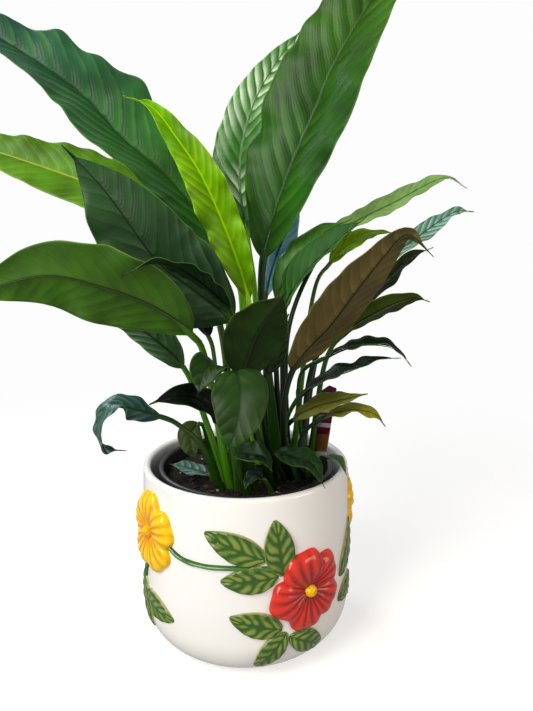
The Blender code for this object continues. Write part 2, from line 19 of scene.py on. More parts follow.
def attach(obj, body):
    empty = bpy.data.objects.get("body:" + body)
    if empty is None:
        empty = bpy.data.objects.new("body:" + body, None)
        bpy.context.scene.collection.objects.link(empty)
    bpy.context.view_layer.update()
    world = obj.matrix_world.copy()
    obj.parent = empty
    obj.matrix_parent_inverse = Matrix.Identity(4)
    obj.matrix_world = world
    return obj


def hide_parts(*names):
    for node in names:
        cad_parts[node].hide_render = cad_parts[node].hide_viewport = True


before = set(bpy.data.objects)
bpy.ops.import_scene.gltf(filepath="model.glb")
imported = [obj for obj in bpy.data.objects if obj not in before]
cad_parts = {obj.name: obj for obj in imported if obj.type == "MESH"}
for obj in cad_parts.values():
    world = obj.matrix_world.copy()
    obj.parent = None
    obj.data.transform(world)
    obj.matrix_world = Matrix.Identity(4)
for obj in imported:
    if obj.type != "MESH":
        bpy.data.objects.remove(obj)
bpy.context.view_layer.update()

log = logging.getLogger("peace_lily")

MM = 0.001
WELD = 1e-5

# Cover pot
POT_HEIGHT = 184 * MM
RIM_RADIUS = 105 * MM
BELLY_RADIUS = 108 * MM
BELLY_HEIGHT = 42 * MM
FOOT_RADIUS = 71 * MM
POT_WALL = 7.5 * MM
POT_FLOOR = 10 * MM

# Grow pot and potting mix
GROW_RIM_RADIUS = 90.5 * MM
GROW_BASE_RADIUS = 66 * MM
GROW_RIM_WIDTH = 5.5 * MM
GROW_RIM_HEIGHT = 11 * MM
GROW_WALL = 2 * MM
GROW_FLOOR = 3 * MM
GROW_TOP = POT_HEIGHT - 4 * MM
SOIL_TOP = GROW_TOP - 11 * MM
GAP = 0.3 * MM

# Leaves
BLADE_THICKNESS = 0.45 * MM
STALK_BURIED = 6 * MM

Tone = tuple[float, float, float]
Spot = tuple[Vector, tuple[float, float], Tone]
Place = Callable[[float, float], Spot]
Socket = bpy.types.NodeSocket
Tree = bpy.types.NodeTree


class Slot(Enum):
    """The record's material slots."""

    WHITE = "glaze_white"
    RED = "glaze_red"
    YELLOW = "glaze_yellow"
    GREEN = "glaze_green"
    BLACK = "grow_pot_black"
    MIX = "potting_mix"
    CARD = "label_card"
    DEEP = "leaf_deep"
    MID = "leaf_mid"
    LIME = "leaf_lime"
    GREY = "leaf_grey"
    OLIVE = "leaf_olive"


# --- Shared shape tools ---

def direction(heading: float, rise: float) -> Vector:
    """A unit vector from a heading and a rise.

    Args:
        heading: degrees from +X towards +Y.
        rise: degrees above level.

    Returns:
        The unit vector.
    """
    turn, up = math.radians(heading), math.radians(rise)
    return Vector((math.cos(up) * math.cos(turn), math.cos(up) * math.sin(turn), math.sin(up)))


def smooth_route(points: list[Vector], station: float) -> Vector:
    """The place on a smooth curve through the points.

    Args:
        points: the points that the curve passes through.
        station: how far along, with station 1 at the second point.

    Returns:
        The place.
    """
    first = min(int(station), len(points) - 2)
    t = station - first
    start, stop = points[first], points[first + 1]
    before = points[first - 1] if first else start * 2 - stop
    after = points[first + 2] if first + 2 < len(points) else stop * 2 - start
    bend = (before - start * 3 + stop * 3 - after) * -1 * t ** 3
    slope = (before * 2 - start * 5 + stop * 4 - after) * t ** 2
    return (start * 2 + (stop - before) * t + slope + bend) / 2


def even_places(points: list[Vector], first: float, last: float, count: int) -> list[Vector]:
    """Places the same length apart on the smooth route.

    Args:
        points: the points that the route passes through.
        first: the station it starts from.
        last: the station it ends at.
        count: how many steps to take.

    Returns:
        One place more than the steps.
    """
    fine = int(32 * (last - first))
    spots = [smooth_route(points, first + (last - first) * step / fine) for step in range(fine + 1)]
    reached = [0.0]
    for one, two in zip(spots, spots[1:]):
        reached.append(reached[-1] + (two - one).length)
    places = []
    step = 0
    for number in range(count + 1):
        wanted = reached[-1] * number / count
        while step < fine - 1 and reached[step + 1] < wanted:
            step += 1
        share = (wanted - reached[step]) / (reached[step + 1] - reached[step])
        places.append(spots[step].lerp(spots[step + 1], min(share, 1.0)))
    return places


def lay_grids(columns: int, rows: int, *places: Place) -> bmesh.types.BMesh:
    """Lays one grid over each surface.

    Args:
        columns: faces across each surface.
        rows: faces along it.
        places: each gives the point, its two surface coordinates and its three tones for a place
            across, from -1 to 1, and along, from 0 to 1.

    Returns:
        The mesh, with a "surface" UV map and a "tone" attribute.
    """
    sheet = bmesh.new()
    uv = sheet.loops.layers.uv.new("surface")
    tone = sheet.verts.layers.float_vector.new("tone")
    flat: dict[bmesh.types.BMVert, tuple[float, float]] = {}
    for place in places:
        for vert in bmesh.ops.create_grid(sheet, x_segments=columns, y_segments=rows, size=1.0)["verts"]:
            vert.co, flat[vert], vert[tone] = place(vert.co.x, (vert.co.y + 1) / 2)
    for face in sheet.faces:
        for loop in face.loops:
            loop[uv].uv = flat[loop.vert]
    return sheet


def close_up(shape: bmesh.types.BMesh) -> bmesh.types.BMesh:
    """Welds seams and poles, fills what is left open and points every face outwards.

    Args:
        shape: the mesh to close.

    Returns:
        The same mesh.
    """
    bmesh.ops.remove_doubles(shape, verts=shape.verts, dist=WELD)
    open_edges = [edge for edge in shape.edges if edge.is_boundary]
    if open_edges:
        bmesh.ops.holes_fill(shape, edges=open_edges, sides=0)
    bmesh.ops.recalc_face_normals(shape, faces=shape.faces)
    return shape


def turned(outline: list[tuple[float, float]], sides: int) -> bmesh.types.BMesh:
    """Spins an outline about the Z axis into a closed solid.

    Args:
        outline: (radius, height) places from the axis round to the axis again.
        sides: faces round the axis.

    Returns:
        The closed mesh.
    """
    solid = bmesh.new()
    ring = [solid.verts.new((radius, 0, height)) for radius, height in outline]
    edges = [solid.edges.new(pair) for pair in zip(ring, ring[1:])]
    bmesh.ops.spin(solid, geom=ring + edges, cent=(0, 0, 0), axis=(0, 0, 1), dvec=(0, 0, 0),
                   angle=math.tau, steps=sides, use_merge=True, use_duplicate=False)
    return close_up(solid)


def joined(shapes: list[bmesh.types.BMesh]) -> bmesh.types.BMesh:
    """Puts several meshes into one and frees them.

    Args:
        shapes: the meshes.

    Returns:
        One mesh that holds them all.
    """
    whole = bmesh.new()
    whole.loops.layers.uv.new("surface")
    whole.verts.layers.float_vector.new("tone")
    for shape in shapes:
        held = bpy.data.meshes.new("held")
        shape.to_mesh(held)
        shape.free()
        whole.from_mesh(held)
        bpy.data.meshes.remove(held)
    return whole


def finished(name: str, shape: bmesh.types.BMesh, slot: Slot, nodes: tuple[str, ...],
             *finishes: bpy.types.Material, sharp: float = 40.0) -> bpy.types.Object:
    """Turns a mesh into a dressed piece that rides on the body.

    Args:
        name: the piece's name.
        shape: its mesh, which is freed.
        slot: not used.
        nodes: the nodes it stands for.
        finishes: its materials.
        sharp: the angle in degrees past which an edge stays crisp.

    Returns:
        The piece.
    """
    mesh = bpy.data.meshes.new(name)
    shape.to_mesh(mesh)
    shape.free()
    for finish in finishes:
        mesh.materials.append(finish)
    mesh.shade_smooth()
    mesh.set_sharp_from_angle(angle=math.radians(sharp))
    piece = bpy.data.objects.new(name, mesh)
    bpy.context.scene.collection.objects.link(piece)
    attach(piece, "root")
    if nodes:
        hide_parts(*nodes)
    log.info("%s: %d faces", name, len(mesh.polygons))
    return piece


# --- Shared material tools ---

def linear(hex_colour: str) -> tuple[float, float, float, float]:
    """Turns an sRGB colour into the renderer's linear one.

    Args:
        hex_colour: six hex digits after a hash sign.

    Returns:
        Red, green, blue and an alpha of 1.
    """
    shares = [int(hex_colour[start:start + 2], 16) / 255 for start in (1, 3, 5)]
    red, green, blue = (c / 12.92 if c <= 0.04045 else ((c + 0.055) / 1.055) ** 2.4 for c in shares)
    return red, green, blue, 1.0


def add_node(tree: bpy.types.NodeTree, kind: str, settings: dict[str, Any] | None = None,
             sockets: dict[int | str, Any] | None = None,
             stops: list[tuple[float, Any]] | None = None) -> bpy.types.Node:
    """Adds one shader node with its settings and links.

    Args:
        tree: the material's node tree.
        kind: the node's type name.
        settings: its properties.
        sockets: its inputs by name or number, each a value or the output to link from.
        stops: a colour ramp's places, each with a grey level or a linear colour.

    Returns:
        The node.
    """
    node = tree.nodes.new(kind)
    for name, value in (settings or {}).items():
        setattr(node, name, value)
    for key, value in (sockets or {}).items():
        if isinstance(value, bpy.types.NodeSocket):
            tree.links.new(value, node.inputs[key])
        else:
            node.inputs[key].default_value = value
    if stops:
        ramp = node.color_ramp.elements
        ramp.remove(ramp[1])
        for number, (place, level) in enumerate(stops):
            element = ramp.new(place) if number else ramp[0]
            element.position = place
            element.color = level if isinstance(level, tuple) else (level, level, level, 1.0)
    return node


def new_material(name: str, roughness: float, ior: float = 1.5,
                 **constants: float) -> tuple[bpy.types.Material, bpy.types.NodeTree, bpy.types.Node]:
    """Starts a material with its constant settings on the shader itself.

    Args:
        name: the material's name.
        roughness: the surface's roughness.
        ior: its index of refraction.
        constants: other shader inputs, with underscores for spaces.

    Returns:
        The material, its node tree and its shader.
    """
    made = bpy.data.materials.new(name)
    made.use_nodes = True
    tree = made.node_tree
    shader = tree.nodes["Principled BSDF"]
    shader.inputs["Roughness"].default_value = roughness
    shader.inputs["IOR"].default_value = ior
    for key, value in constants.items():
        shader.inputs[key.replace("_", " ").title()].default_value = value
    return made, tree, shader


MIX = {"data_type": "RGBA"}
EASED = {"interpolation_type": "SMOOTHSTEP"}
TIMES = {"operation": "MULTIPLY"}
TIMES_PLUS = {"operation": "MULTIPLY_ADD"}
PLUS = {"operation": "ADD"}
ZIGZAG = {"operation": "PINGPONG"}


# --- Finishes ---

@dataclass(frozen=True)
class TinGlaze:
    """White tin glaze on earthenware, fired glossy, with a faint orange-peel ripple. A painted warm
    reflection of the table warms the lower wall, and a warm line along the foot is partly the unglazed buff
    foot and partly that painted reflection."""

    name: str = "tin_glaze_on_earthenware"
    white: str = "#f5f5f3"
    warm_reflection: str = "#dccfc0"
    unglazed_foot_and_reflection: str = "#b98358"
    cloud_mm: float = 71.4
    ripple_mm: float = 9.0
    reflection_rise_mm: float = 75.0
    foot_line_mm: tuple[float, float] = (0.9, 2.2)

    def make(self) -> bpy.types.Material:
        """Builds the material.

        Returns:
            The material.
        """
        made, tree, shader = new_material(self.name, 0.09, 1.52, coat_weight=0.3)
        place = add_node(tree, "ShaderNodeTexCoord").outputs["Object"]
        height = add_node(tree, "ShaderNodeSeparateXYZ", {}, {0: place}).outputs[2]
        # Painted reflection: the lower wall warms in cloudy patches, as if reflecting a warm table.
        cloud = add_node(tree, "ShaderNodeTexNoise", {},
                         {"Vector": place, "Scale": 1 / (self.cloud_mm * MM), "Detail": 3.0}).outputs[0]
        reflection_fade = add_node(tree, "ShaderNodeMapRange", {},
                        {0: height, 1: 0.0, 2: self.reflection_rise_mm * MM, 3: 0.75, 4: 0.0}).outputs[0]
        soft = add_node(tree, "ShaderNodeMath", TIMES, {0: reflection_fade, 1: cloud}).outputs[0]
        body = add_node(tree, "ShaderNodeMix", MIX,
                        {0: soft, 6: linear(self.white), 7: linear(self.warm_reflection)}).outputs[2]
        # A warm line along the foot: partly the unglazed buff foot, partly a painted reflection of the table.
        foot_line_low, glazed = (edge * MM for edge in self.foot_line_mm)
        foot_line = add_node(tree, "ShaderNodeMapRange", {},
                        {0: height, 1: foot_line_low, 2: glazed, 3: 1.0, 4: 0.0}).outputs[0]
        coat = add_node(tree, "ShaderNodeMix", MIX, {0: foot_line, 6: body, 7: linear(self.unglazed_foot_and_reflection)})
        tree.links.new(coat.outputs[2], shader.inputs["Base Color"])
        # Orange peel: reflections waver slightly.
        ripple = add_node(tree, "ShaderNodeTexNoise", {},
                          {"Vector": place, "Scale": 1 / (self.ripple_mm * MM), "Detail": 1.0}).outputs[0]
        bump = add_node(tree, "ShaderNodeBump", {}, {"Strength": 0.05, "Distance": 0.001, "Height": ripple})
        tree.links.new(bump.outputs[0], shader.inputs["Normal"])
        return made


@dataclass(frozen=True)
class BrushedGlaze:
    """Coloured glaze brushed over a moulding: it runs off the ridges, gathers darker in the grooves
    and leaves a thin pale line along the edge where the white glaze shows."""

    name: str
    ridge: str
    groove: str
    edge: str
    edge_from: float
    ridge_from: float = 0.15
    stroke_mm: float = 4.0

    def make(self) -> bpy.types.Material:
        """Builds the material on the "tone" attribute: how high on a ridge, then how near the edge.

        Returns:
            The material.
        """
        made, tree, shader = new_material(self.name, 0.16, 1.52)
        place = add_node(tree, "ShaderNodeTexCoord").outputs["Object"]
        tone = add_node(tree, "ShaderNodeAttribute", {"attribute_name": "tone"}).outputs["Vector"]
        high, near_edge, _ = add_node(tree, "ShaderNodeSeparateXYZ", {}, {0: tone}).outputs
        # Uneven brushwork shifts where the ridge colour stops.
        strokes = add_node(tree, "ShaderNodeTexNoise", {},
                           {"Vector": place, "Scale": 1 / (self.stroke_mm * MM), "Detail": 3.0}).outputs[0]
        shift = add_node(tree, "ShaderNodeMath", TIMES_PLUS, {0: strokes, 1: 0.5, 2: -0.25}).outputs[0]
        level = add_node(tree, "ShaderNodeMath", PLUS, {0: high, 1: shift}).outputs[0]
        spread = add_node(tree, "ShaderNodeMapRange", EASED,
                          {0: level, 1: self.ridge_from, 2: 1.0}).outputs[0]
        body = add_node(tree, "ShaderNodeMix", MIX,
                        {0: spread, 6: linear(self.groove), 7: linear(self.ridge)}).outputs[2]
        rim = add_node(tree, "ShaderNodeMapRange", {}, {0: near_edge, 1: self.edge_from, 2: 0.99}).outputs[0]
        coat = add_node(tree, "ShaderNodeMix", MIX, {0: rim, 6: body, 7: linear(self.edge)})
        tree.links.new(coat.outputs[2], shader.inputs["Base Color"])
        bump = add_node(tree, "ShaderNodeBump", {}, {"Strength": 0.12, "Distance": 0.0006, "Height": strokes})
        tree.links.new(bump.outputs[0], shader.inputs["Normal"])
        return made


@dataclass(frozen=True)
class MouldedPolypropylene:
    """Black recycled polypropylene, injection moulded: satin, with a very fine grain and a dusting of
    dried mix. The grain is drawn coarser than it is, so that it shows."""

    name: str = "moulded_polypropylene"
    black: str = "#141618"
    dust: str = "#3a332c"
    dust_mm: float = 16.7
    grain_mm: float = 1.2

    def make(self) -> bpy.types.Material:
        """Builds the material.

        Returns:
            The material.
        """
        made, tree, shader = new_material(self.name, 0.36, 1.49)
        place = add_node(tree, "ShaderNodeTexCoord").outputs["Object"]
        cloud = add_node(tree, "ShaderNodeTexNoise", {},
                         {"Vector": place, "Scale": 1 / (self.dust_mm * MM), "Detail": 5.0}).outputs[0]
        dusty = add_node(tree, "ShaderNodeMapRange", {},
                         {0: cloud, 1: 0.55, 2: 0.8, 3: 0.0, 4: 0.6}).outputs[0]
        body = add_node(tree, "ShaderNodeMix", MIX, {0: dusty, 6: linear(self.black), 7: linear(self.dust)})
        tree.links.new(body.outputs[2], shader.inputs["Base Color"])
        grain = add_node(tree, "ShaderNodeTexNoise", {},
                         {"Vector": place, "Scale": 1 / (self.grain_mm * MM), "Detail": 2.0}).outputs[0]
        bump = add_node(tree, "ShaderNodeBump", {}, {"Strength": 0.15, "Distance": 0.0004, "Height": grain})
        tree.links.new(bump.outputs[0], shader.inputs["Normal"])
        return made


@dataclass(frozen=True)
class LooseFill:
    """Something loose in the pot, such as peat, bark or perlite: matt, and broken up in tone and in
    relief from grain to grain."""

    name: str
    dark: str
    light: str
    grain_mm: float
    roughness: float
    depth_mm: float

    def make(self) -> bpy.types.Material:
        """Builds the material.

        Returns:
            The material.
        """
        made, tree, shader = new_material(self.name, self.roughness, 1.4)
        place = add_node(tree, "ShaderNodeTexCoord").outputs["Object"]
        size = 1 / (self.grain_mm * MM)
        grain = add_node(tree, "ShaderNodeTexVoronoi", {}, {"Vector": place, "Scale": size})
        cloud = add_node(tree, "ShaderNodeTexNoise", {},
                         {"Vector": place, "Scale": size / 3, "Detail": 5.0}).outputs[0]
        level = add_node(tree, "ShaderNodeMath", TIMES, {0: grain.outputs["Color"], 1: cloud}).outputs[0]
        body = add_node(tree, "ShaderNodeValToRGB", {}, {0: level},
                        [(0.08, linear(self.dark)), (0.5, linear(self.light))])
        tree.links.new(body.outputs[0], shader.inputs["Base Color"])
        depth = self.depth_mm * MM
        bump = add_node(tree, "ShaderNodeBump", {},
                        {"Strength": 0.8, "Distance": depth, "Height": grain.outputs["Distance"]})
        tree.links.new(bump.outputs[0], shader.inputs["Normal"])
        return made


@dataclass(frozen=True)
class PrintedCard:
    """A glossy printed polypropylene label: plum card with a flower roundel, plain bars where the
    words go, a pale stripe and a band of bark, on a milky stake. Lengths are in centimetres."""

    name: str = "printed_polypropylene"
    plum: str = "#6a1834"
    pale: str = "#d9bfc0"
    bark: str = "#8a5a30"
    stake: str = "#c3c3bb"
    petal: str = "#c3a9cf"
    deep_petal: str = "#6d4b86"
    palest_petal: str = "#efe6f0"
    slant: float = 0.35
    length: float = 10.0
    bar_step: float = 0.25
    bar_reach: float = 0.7
    roundel_place: tuple[float, float, float] = (0.1, 8.0, 0.0)
    roundel_size: tuple[float, float, float] = (0.62, 0.9, 1.0)

    def make(self) -> bpy.types.Material:
        """Builds the material, on the label's own coordinates from the stake's foot.

        Returns:
            The material.
        """
        made, tree, shader = new_material(self.name, 0.22, 1.49)
        place = add_node(tree, "ShaderNodeUVMap", {"uv_map": "surface"}).outputs[0]
        across, up, _ = add_node(tree, "ShaderNodeSeparateXYZ", {}, {0: place}).outputs
        # Bands, slanted as the card's top is: stake, bark, plum, a pale stripe, plum again.
        slanted = add_node(tree, "ShaderNodeMath", TIMES_PLUS, {0: across, 1: -self.slant, 2: up}).outputs[0]
        level = add_node(tree, "ShaderNodeMapRange", {}, {0: slanted, 1: 0.0, 2: self.length}).outputs[0]
        plum, pale = linear(self.plum), linear(self.pale)
        bands = add_node(tree, "ShaderNodeValToRGB", {}, {0: level}, [
            (0.0, linear(self.stake)), (0.22, linear(self.bark)), (0.42, plum), (0.5, pale), (0.545, plum)])
        bands.color_ramp.interpolation = "CONSTANT"
        # Plain bars where the words go.
        wave = add_node(tree, "ShaderNodeMath", ZIGZAG, {0: slanted, 1: self.bar_step}).outputs[0]
        bar = add_node(tree, "ShaderNodeMath", {"operation": "GREATER_THAN"}, {0: wave, 1: 0.13}).outputs[0]
        rows = add_node(tree, "ShaderNodeValToRGB", {}, {0: level}, [(0.0, 0.0), (0.585, 1.0), (0.7, 0.0)])
        rows.color_ramp.interpolation = "CONSTANT"
        inset = add_node(tree, "ShaderNodeMath", {"operation": "COMPARE"},
                         {0: across, 1: 0.0, 2: self.bar_reach}).outputs[0]
        lines = add_node(tree, "ShaderNodeMath", TIMES, {0: bar, 1: rows.outputs[0]}).outputs[0]
        words = add_node(tree, "ShaderNodeMath", TIMES, {0: lines, 1: inset}).outputs[0]
        printed = add_node(tree, "ShaderNodeMix", MIX, {0: words, 6: bands.outputs[0], 7: pale}).outputs[2]
        # An oval roundel of petals near the top.
        centred = add_node(tree, "ShaderNodeMapping", {"vector_type": "TEXTURE"},
                           {0: place, 1: self.roundel_place, 3: self.roundel_size}).outputs[0]
        far = add_node(tree, "ShaderNodeVectorMath", {"operation": "LENGTH"}, {0: centred}).outputs["Value"]
        inside = add_node(tree, "ShaderNodeMath", {"operation": "LESS_THAN"}, {0: far, 1: 1.0}).outputs[0]
        folds = add_node(tree, "ShaderNodeTexNoise", {},
                         {"Vector": place, "Scale": 4.0, "Detail": 3.0}).outputs[0]
        flower = add_node(tree, "ShaderNodeValToRGB", {}, {0: folds}, [
            (0.35, linear(self.deep_petal)), (0.5, linear(self.petal)), (0.62, linear(self.palest_petal))])
        whole = add_node(tree, "ShaderNodeMix", MIX, {0: inside, 6: printed, 7: flower.outputs[0]})
        tree.links.new(whole.outputs[2], shader.inputs["Base Color"])
        return made


@dataclass(frozen=True)
class LeafSkin:
    """One side of a living leaf: a waxy cuticle over green flesh, quilted between side veins that
    leave the midrib at a slant and sweep forward to the edge."""

    name: str
    flesh: str
    tip: str
    shine: str
    rib: str
    edge: str
    scorch: str
    roughness: float
    shine_share: float
    cloud_mm: float = 35.7
    patch_mm: float = 58.8
    rib_width_cm: tuple[float, float] = (0.22, 0.05)

    def flesh_colour(self, tree: Tree, cloud: Socket, along: Socket) -> Socket:
        """The flesh: it turns towards the tip's colour and is lighter and darker in clouds.

        Args:
            tree: the material's node tree.
            cloud: soft noise.
            along: the share of the way to the tip.

        Returns:
            The colour.
        """
        late = add_node(tree, "ShaderNodeMapRange", EASED, {0: along, 1: 0.25, 2: 0.9}).outputs[0]
        body = add_node(tree, "ShaderNodeMix", MIX,
                        {0: late, 6: linear(self.flesh), 7: linear(self.tip)}).outputs[2]
        shade = add_node(tree, "ShaderNodeMapRange", {},
                         {0: cloud, 1: 0.3, 2: 0.7, 3: 0.55, 4: 1.3}).outputs[0]
        return add_node(tree, "ShaderNodeVectorMath", {"operation": "SCALE"},
                        {0: body, "Scale": shade}).outputs[0]

    def pleat_colour(self, tree: Tree, body: Socket, place: Socket, count: Socket) -> Socket:
        """The pleats between the side veins: each carries a painted highlight on one flank, stronger in some
        patches than in others, and ends in a thin dark line at the vein.

        Args:
            tree: the material's node tree.
            body: the colour underneath.
            place: object coordinates.
            count: how many veins there have been since the leaf's base.

        Returns:
            The colour.
        """
        saw = add_node(tree, "ShaderNodeMath", {"operation": "FRACT"}, {0: count}).outputs[0]
        band = add_node(tree, "ShaderNodeValToRGB", {}, {0: saw},
                        [(0.0, 0.0), (0.16, 0.8), (0.5, 0.3), (0.92, 0.0)]).outputs[0]
        patch = add_node(tree, "ShaderNodeTexNoise", {},
                         {"Vector": place, "Scale": 1 / (self.patch_mm * MM), "Detail": 2.0}).outputs[0]
        dull, bright = 0.15 * self.shine_share, 1.6 * self.shine_share
        lit = add_node(tree, "ShaderNodeMapRange", {},
                       {0: patch, 1: 0.38, 2: 0.62, 3: dull, 4: bright}).outputs[0]
        gleam = add_node(tree, "ShaderNodeMath", TIMES, {0: band, 1: lit}).outputs[0]
        body = add_node(tree, "ShaderNodeMix", MIX, {0: gleam, 6: body, 7: linear(self.shine)}).outputs[2]
        near = add_node(tree, "ShaderNodeMath", ZIGZAG, {0: count, 1: 0.5}).outputs[0]
        line = add_node(tree, "ShaderNodeMapRange", {},
                        {0: near, 1: 0.0, 2: 0.045, 3: 0.42, 4: 0.0}).outputs[0]
        return add_node(tree, "ShaderNodeMix", MIX, {0: line, 6: body, 7: linear(self.rib)}).outputs[2]

    def trim_colour(self, tree: Tree, body: Socket, breadth: Socket, out: Socket, along: Socket) -> Socket:
        """The midrib, which thins towards the tip, the edge's pale line and the dried tip.

        Args:
            tree: the material's node tree.
            body: the colour underneath.
            breadth: centimetres from the midrib.
            out: the share of the way from the midrib to the edge.
            along: the share of the way to the tip.

        Returns:
            The colour.
        """
        wide, thin = self.rib_width_cm
        reach = add_node(tree, "ShaderNodeMapRange", {},
                         {0: along, 1: 0.0, 2: 1.0, 3: wide, 4: thin}).outputs[0]
        off = add_node(tree, "ShaderNodeMath", {"operation": "DIVIDE"}, {0: breadth, 1: reach}).outputs[0]
        ribbed = add_node(tree, "ShaderNodeMapRange", {},
                          {0: off, 1: 0.45, 2: 1.0, 3: 1.0, 4: 0.0}).outputs[0]
        body = add_node(tree, "ShaderNodeMix", MIX, {0: ribbed, 6: body, 7: linear(self.rib)}).outputs[2]
        brink = add_node(tree, "ShaderNodeMapRange", {}, {0: out, 1: 0.965, 2: 1.0, 4: 0.7}).outputs[0]
        body = add_node(tree, "ShaderNodeMix", MIX, {0: brink, 6: body, 7: linear(self.edge)}).outputs[2]
        dried = add_node(tree, "ShaderNodeMapRange", {}, {0: along, 1: 0.95, 2: 0.985}).outputs[0]
        return add_node(tree, "ShaderNodeMix", MIX, {0: dried, 6: body, 7: linear(self.scorch)}).outputs[2]

    def make(self) -> bpy.types.Material:
        """Builds the material, on the leaf's vein count and its centimetres from the midrib.

        Returns:
            The material.
        """
        made, tree, shader = new_material(self.name, self.roughness, 1.45)
        shader.inputs["Specular IOR Level"].default_value = 0.22
        place = add_node(tree, "ShaderNodeTexCoord").outputs["Object"]
        flat = add_node(tree, "ShaderNodeUVMap", {"uv_map": "surface"}).outputs[0]
        count, breadth, _ = add_node(tree, "ShaderNodeSeparateXYZ", {}, {0: flat}).outputs
        tone = add_node(tree, "ShaderNodeAttribute", {"attribute_name": "tone"}).outputs["Vector"]
        out, along, _ = add_node(tree, "ShaderNodeSeparateXYZ", {}, {0: tone}).outputs
        cloud = add_node(tree, "ShaderNodeTexNoise", {},
                         {"Vector": place, "Scale": 1 / (self.cloud_mm * MM), "Detail": 4.0}).outputs[0]
        swayed = add_node(tree, "ShaderNodeMath", TIMES_PLUS, {0: cloud, 1: 0.4, 2: count}).outputs[0]
        body = self.flesh_colour(tree, cloud, along)
        body = self.pleat_colour(tree, body, place, swayed)
        tree.links.new(self.trim_colour(tree, body, breadth, out, along), shader.inputs["Base Color"])
        # Five fine veins in each pleat, which break up the light.
        finer = add_node(tree, "ShaderNodeMath", TIMES_PLUS, {0: swayed, 1: 5.0, 2: cloud}).outputs[0]
        ridges = add_node(tree, "ShaderNodeMath", ZIGZAG, {0: finer, 1: 0.5}).outputs[0]
        bump = add_node(tree, "ShaderNodeBump", {}, {"Strength": 0.25, "Distance": 0.0005, "Height": ridges})
        tree.links.new(bump.outputs[0], shader.inputs["Normal"])
        return made


@dataclass(frozen=True)
class StalkSkin:
    """A fleshy leaf stalk: smooth and moist, paler at the sheathed foot, faintly lined lengthwise."""

    name: str
    foot: str
    neck: str
    rib: str
    lines_round: float = 9.0
    lines_along: float = 1.5

    def make(self) -> bpy.types.Material:
        """Builds the material, on the stalk's turns round and its share along.

        Returns:
            The material.
        """
        made, tree, shader = new_material(self.name, 0.3, 1.42)
        flat = add_node(tree, "ShaderNodeUVMap", {"uv_map": "surface"}).outputs[0]
        tone = add_node(tree, "ShaderNodeAttribute", {"attribute_name": "tone"}).outputs["Vector"]
        under, along, _ = add_node(tree, "ShaderNodeSeparateXYZ", {}, {0: tone}).outputs
        body = add_node(tree, "ShaderNodeMix", MIX,
                        {0: along, 6: linear(self.foot), 7: linear(self.neck)}).outputs[2]
        body = add_node(tree, "ShaderNodeMix", MIX, {0: under, 6: body, 7: linear(self.rib)}).outputs[2]
        drawn = add_node(tree, "ShaderNodeMapping", {},
                         {0: flat, 3: (self.lines_round, self.lines_along, 1.0)}).outputs[0]
        lines = add_node(tree, "ShaderNodeTexNoise", {},
                         {"Vector": drawn, "Scale": 1.0, "Detail": 3.0}).outputs[0]
        shade = add_node(tree, "ShaderNodeMapRange", {},
                         {0: lines, 1: 0.3, 2: 0.7, 3: 0.7, 4: 1.2}).outputs[0]
        body = add_node(tree, "ShaderNodeVectorMath", {"operation": "SCALE"},
                        {0: body, "Scale": shade}).outputs[0]
        tree.links.new(body, shader.inputs["Base Color"])
        bump = add_node(tree, "ShaderNodeBump", {}, {"Strength": 0.15, "Distance": 0.0005, "Height": lines})
        tree.links.new(bump.outputs[0], shader.inputs["Normal"])
        return made


# --- Cover pot ---

def outer_radius(height: float) -> float:
    """The cover pot's outer radius: a quarter ellipse up to the belly, then a slow taper.

    Args:
        height: metres above the foot.

    Returns:
        The radius in metres.
    """
    if height < BELLY_HEIGHT:
        share = 1 - height / BELLY_HEIGHT
        return FOOT_RADIUS + (BELLY_RADIUS - FOOT_RADIUS) * math.sqrt(max(0.0, 1 - share * share))
    share = (height - BELLY_HEIGHT) / (POT_HEIGHT - BELLY_HEIGHT)
    return BELLY_RADIUS - (BELLY_RADIUS - RIM_RADIUS) * share * share


def wall_point(bearing: float, climb: float, out: float) -> Vector:
    """A point standing off the pot's wall.

    Args:
        bearing: degrees round the pot from +X towards +Y.
        climb: height above the belly, or below it the length down the rounded lower wall, negative.
        out: distance off the wall.

    Returns:
        The point.
    """
    bend = BELLY_RADIUS - FOOT_RADIUS
    if climb >= 0:
        height = BELLY_HEIGHT + climb
        radius, lean, dip = outer_radius(height), 1.0, 0.0
    else:
        angle = -2 * climb / (bend + BELLY_HEIGHT)
        radius = FOOT_RADIUS + bend * math.cos(angle)
        height = BELLY_HEIGHT * (1 - math.sin(angle))
        lean, dip = math.cos(angle) * BELLY_HEIGHT, math.sin(angle) * bend
    size = math.hypot(lean, dip)
    radius += out * lean / size
    height -= out * dip / size
    turn = math.radians(bearing)
    return Vector((radius * math.cos(turn), radius * math.sin(turn), height))


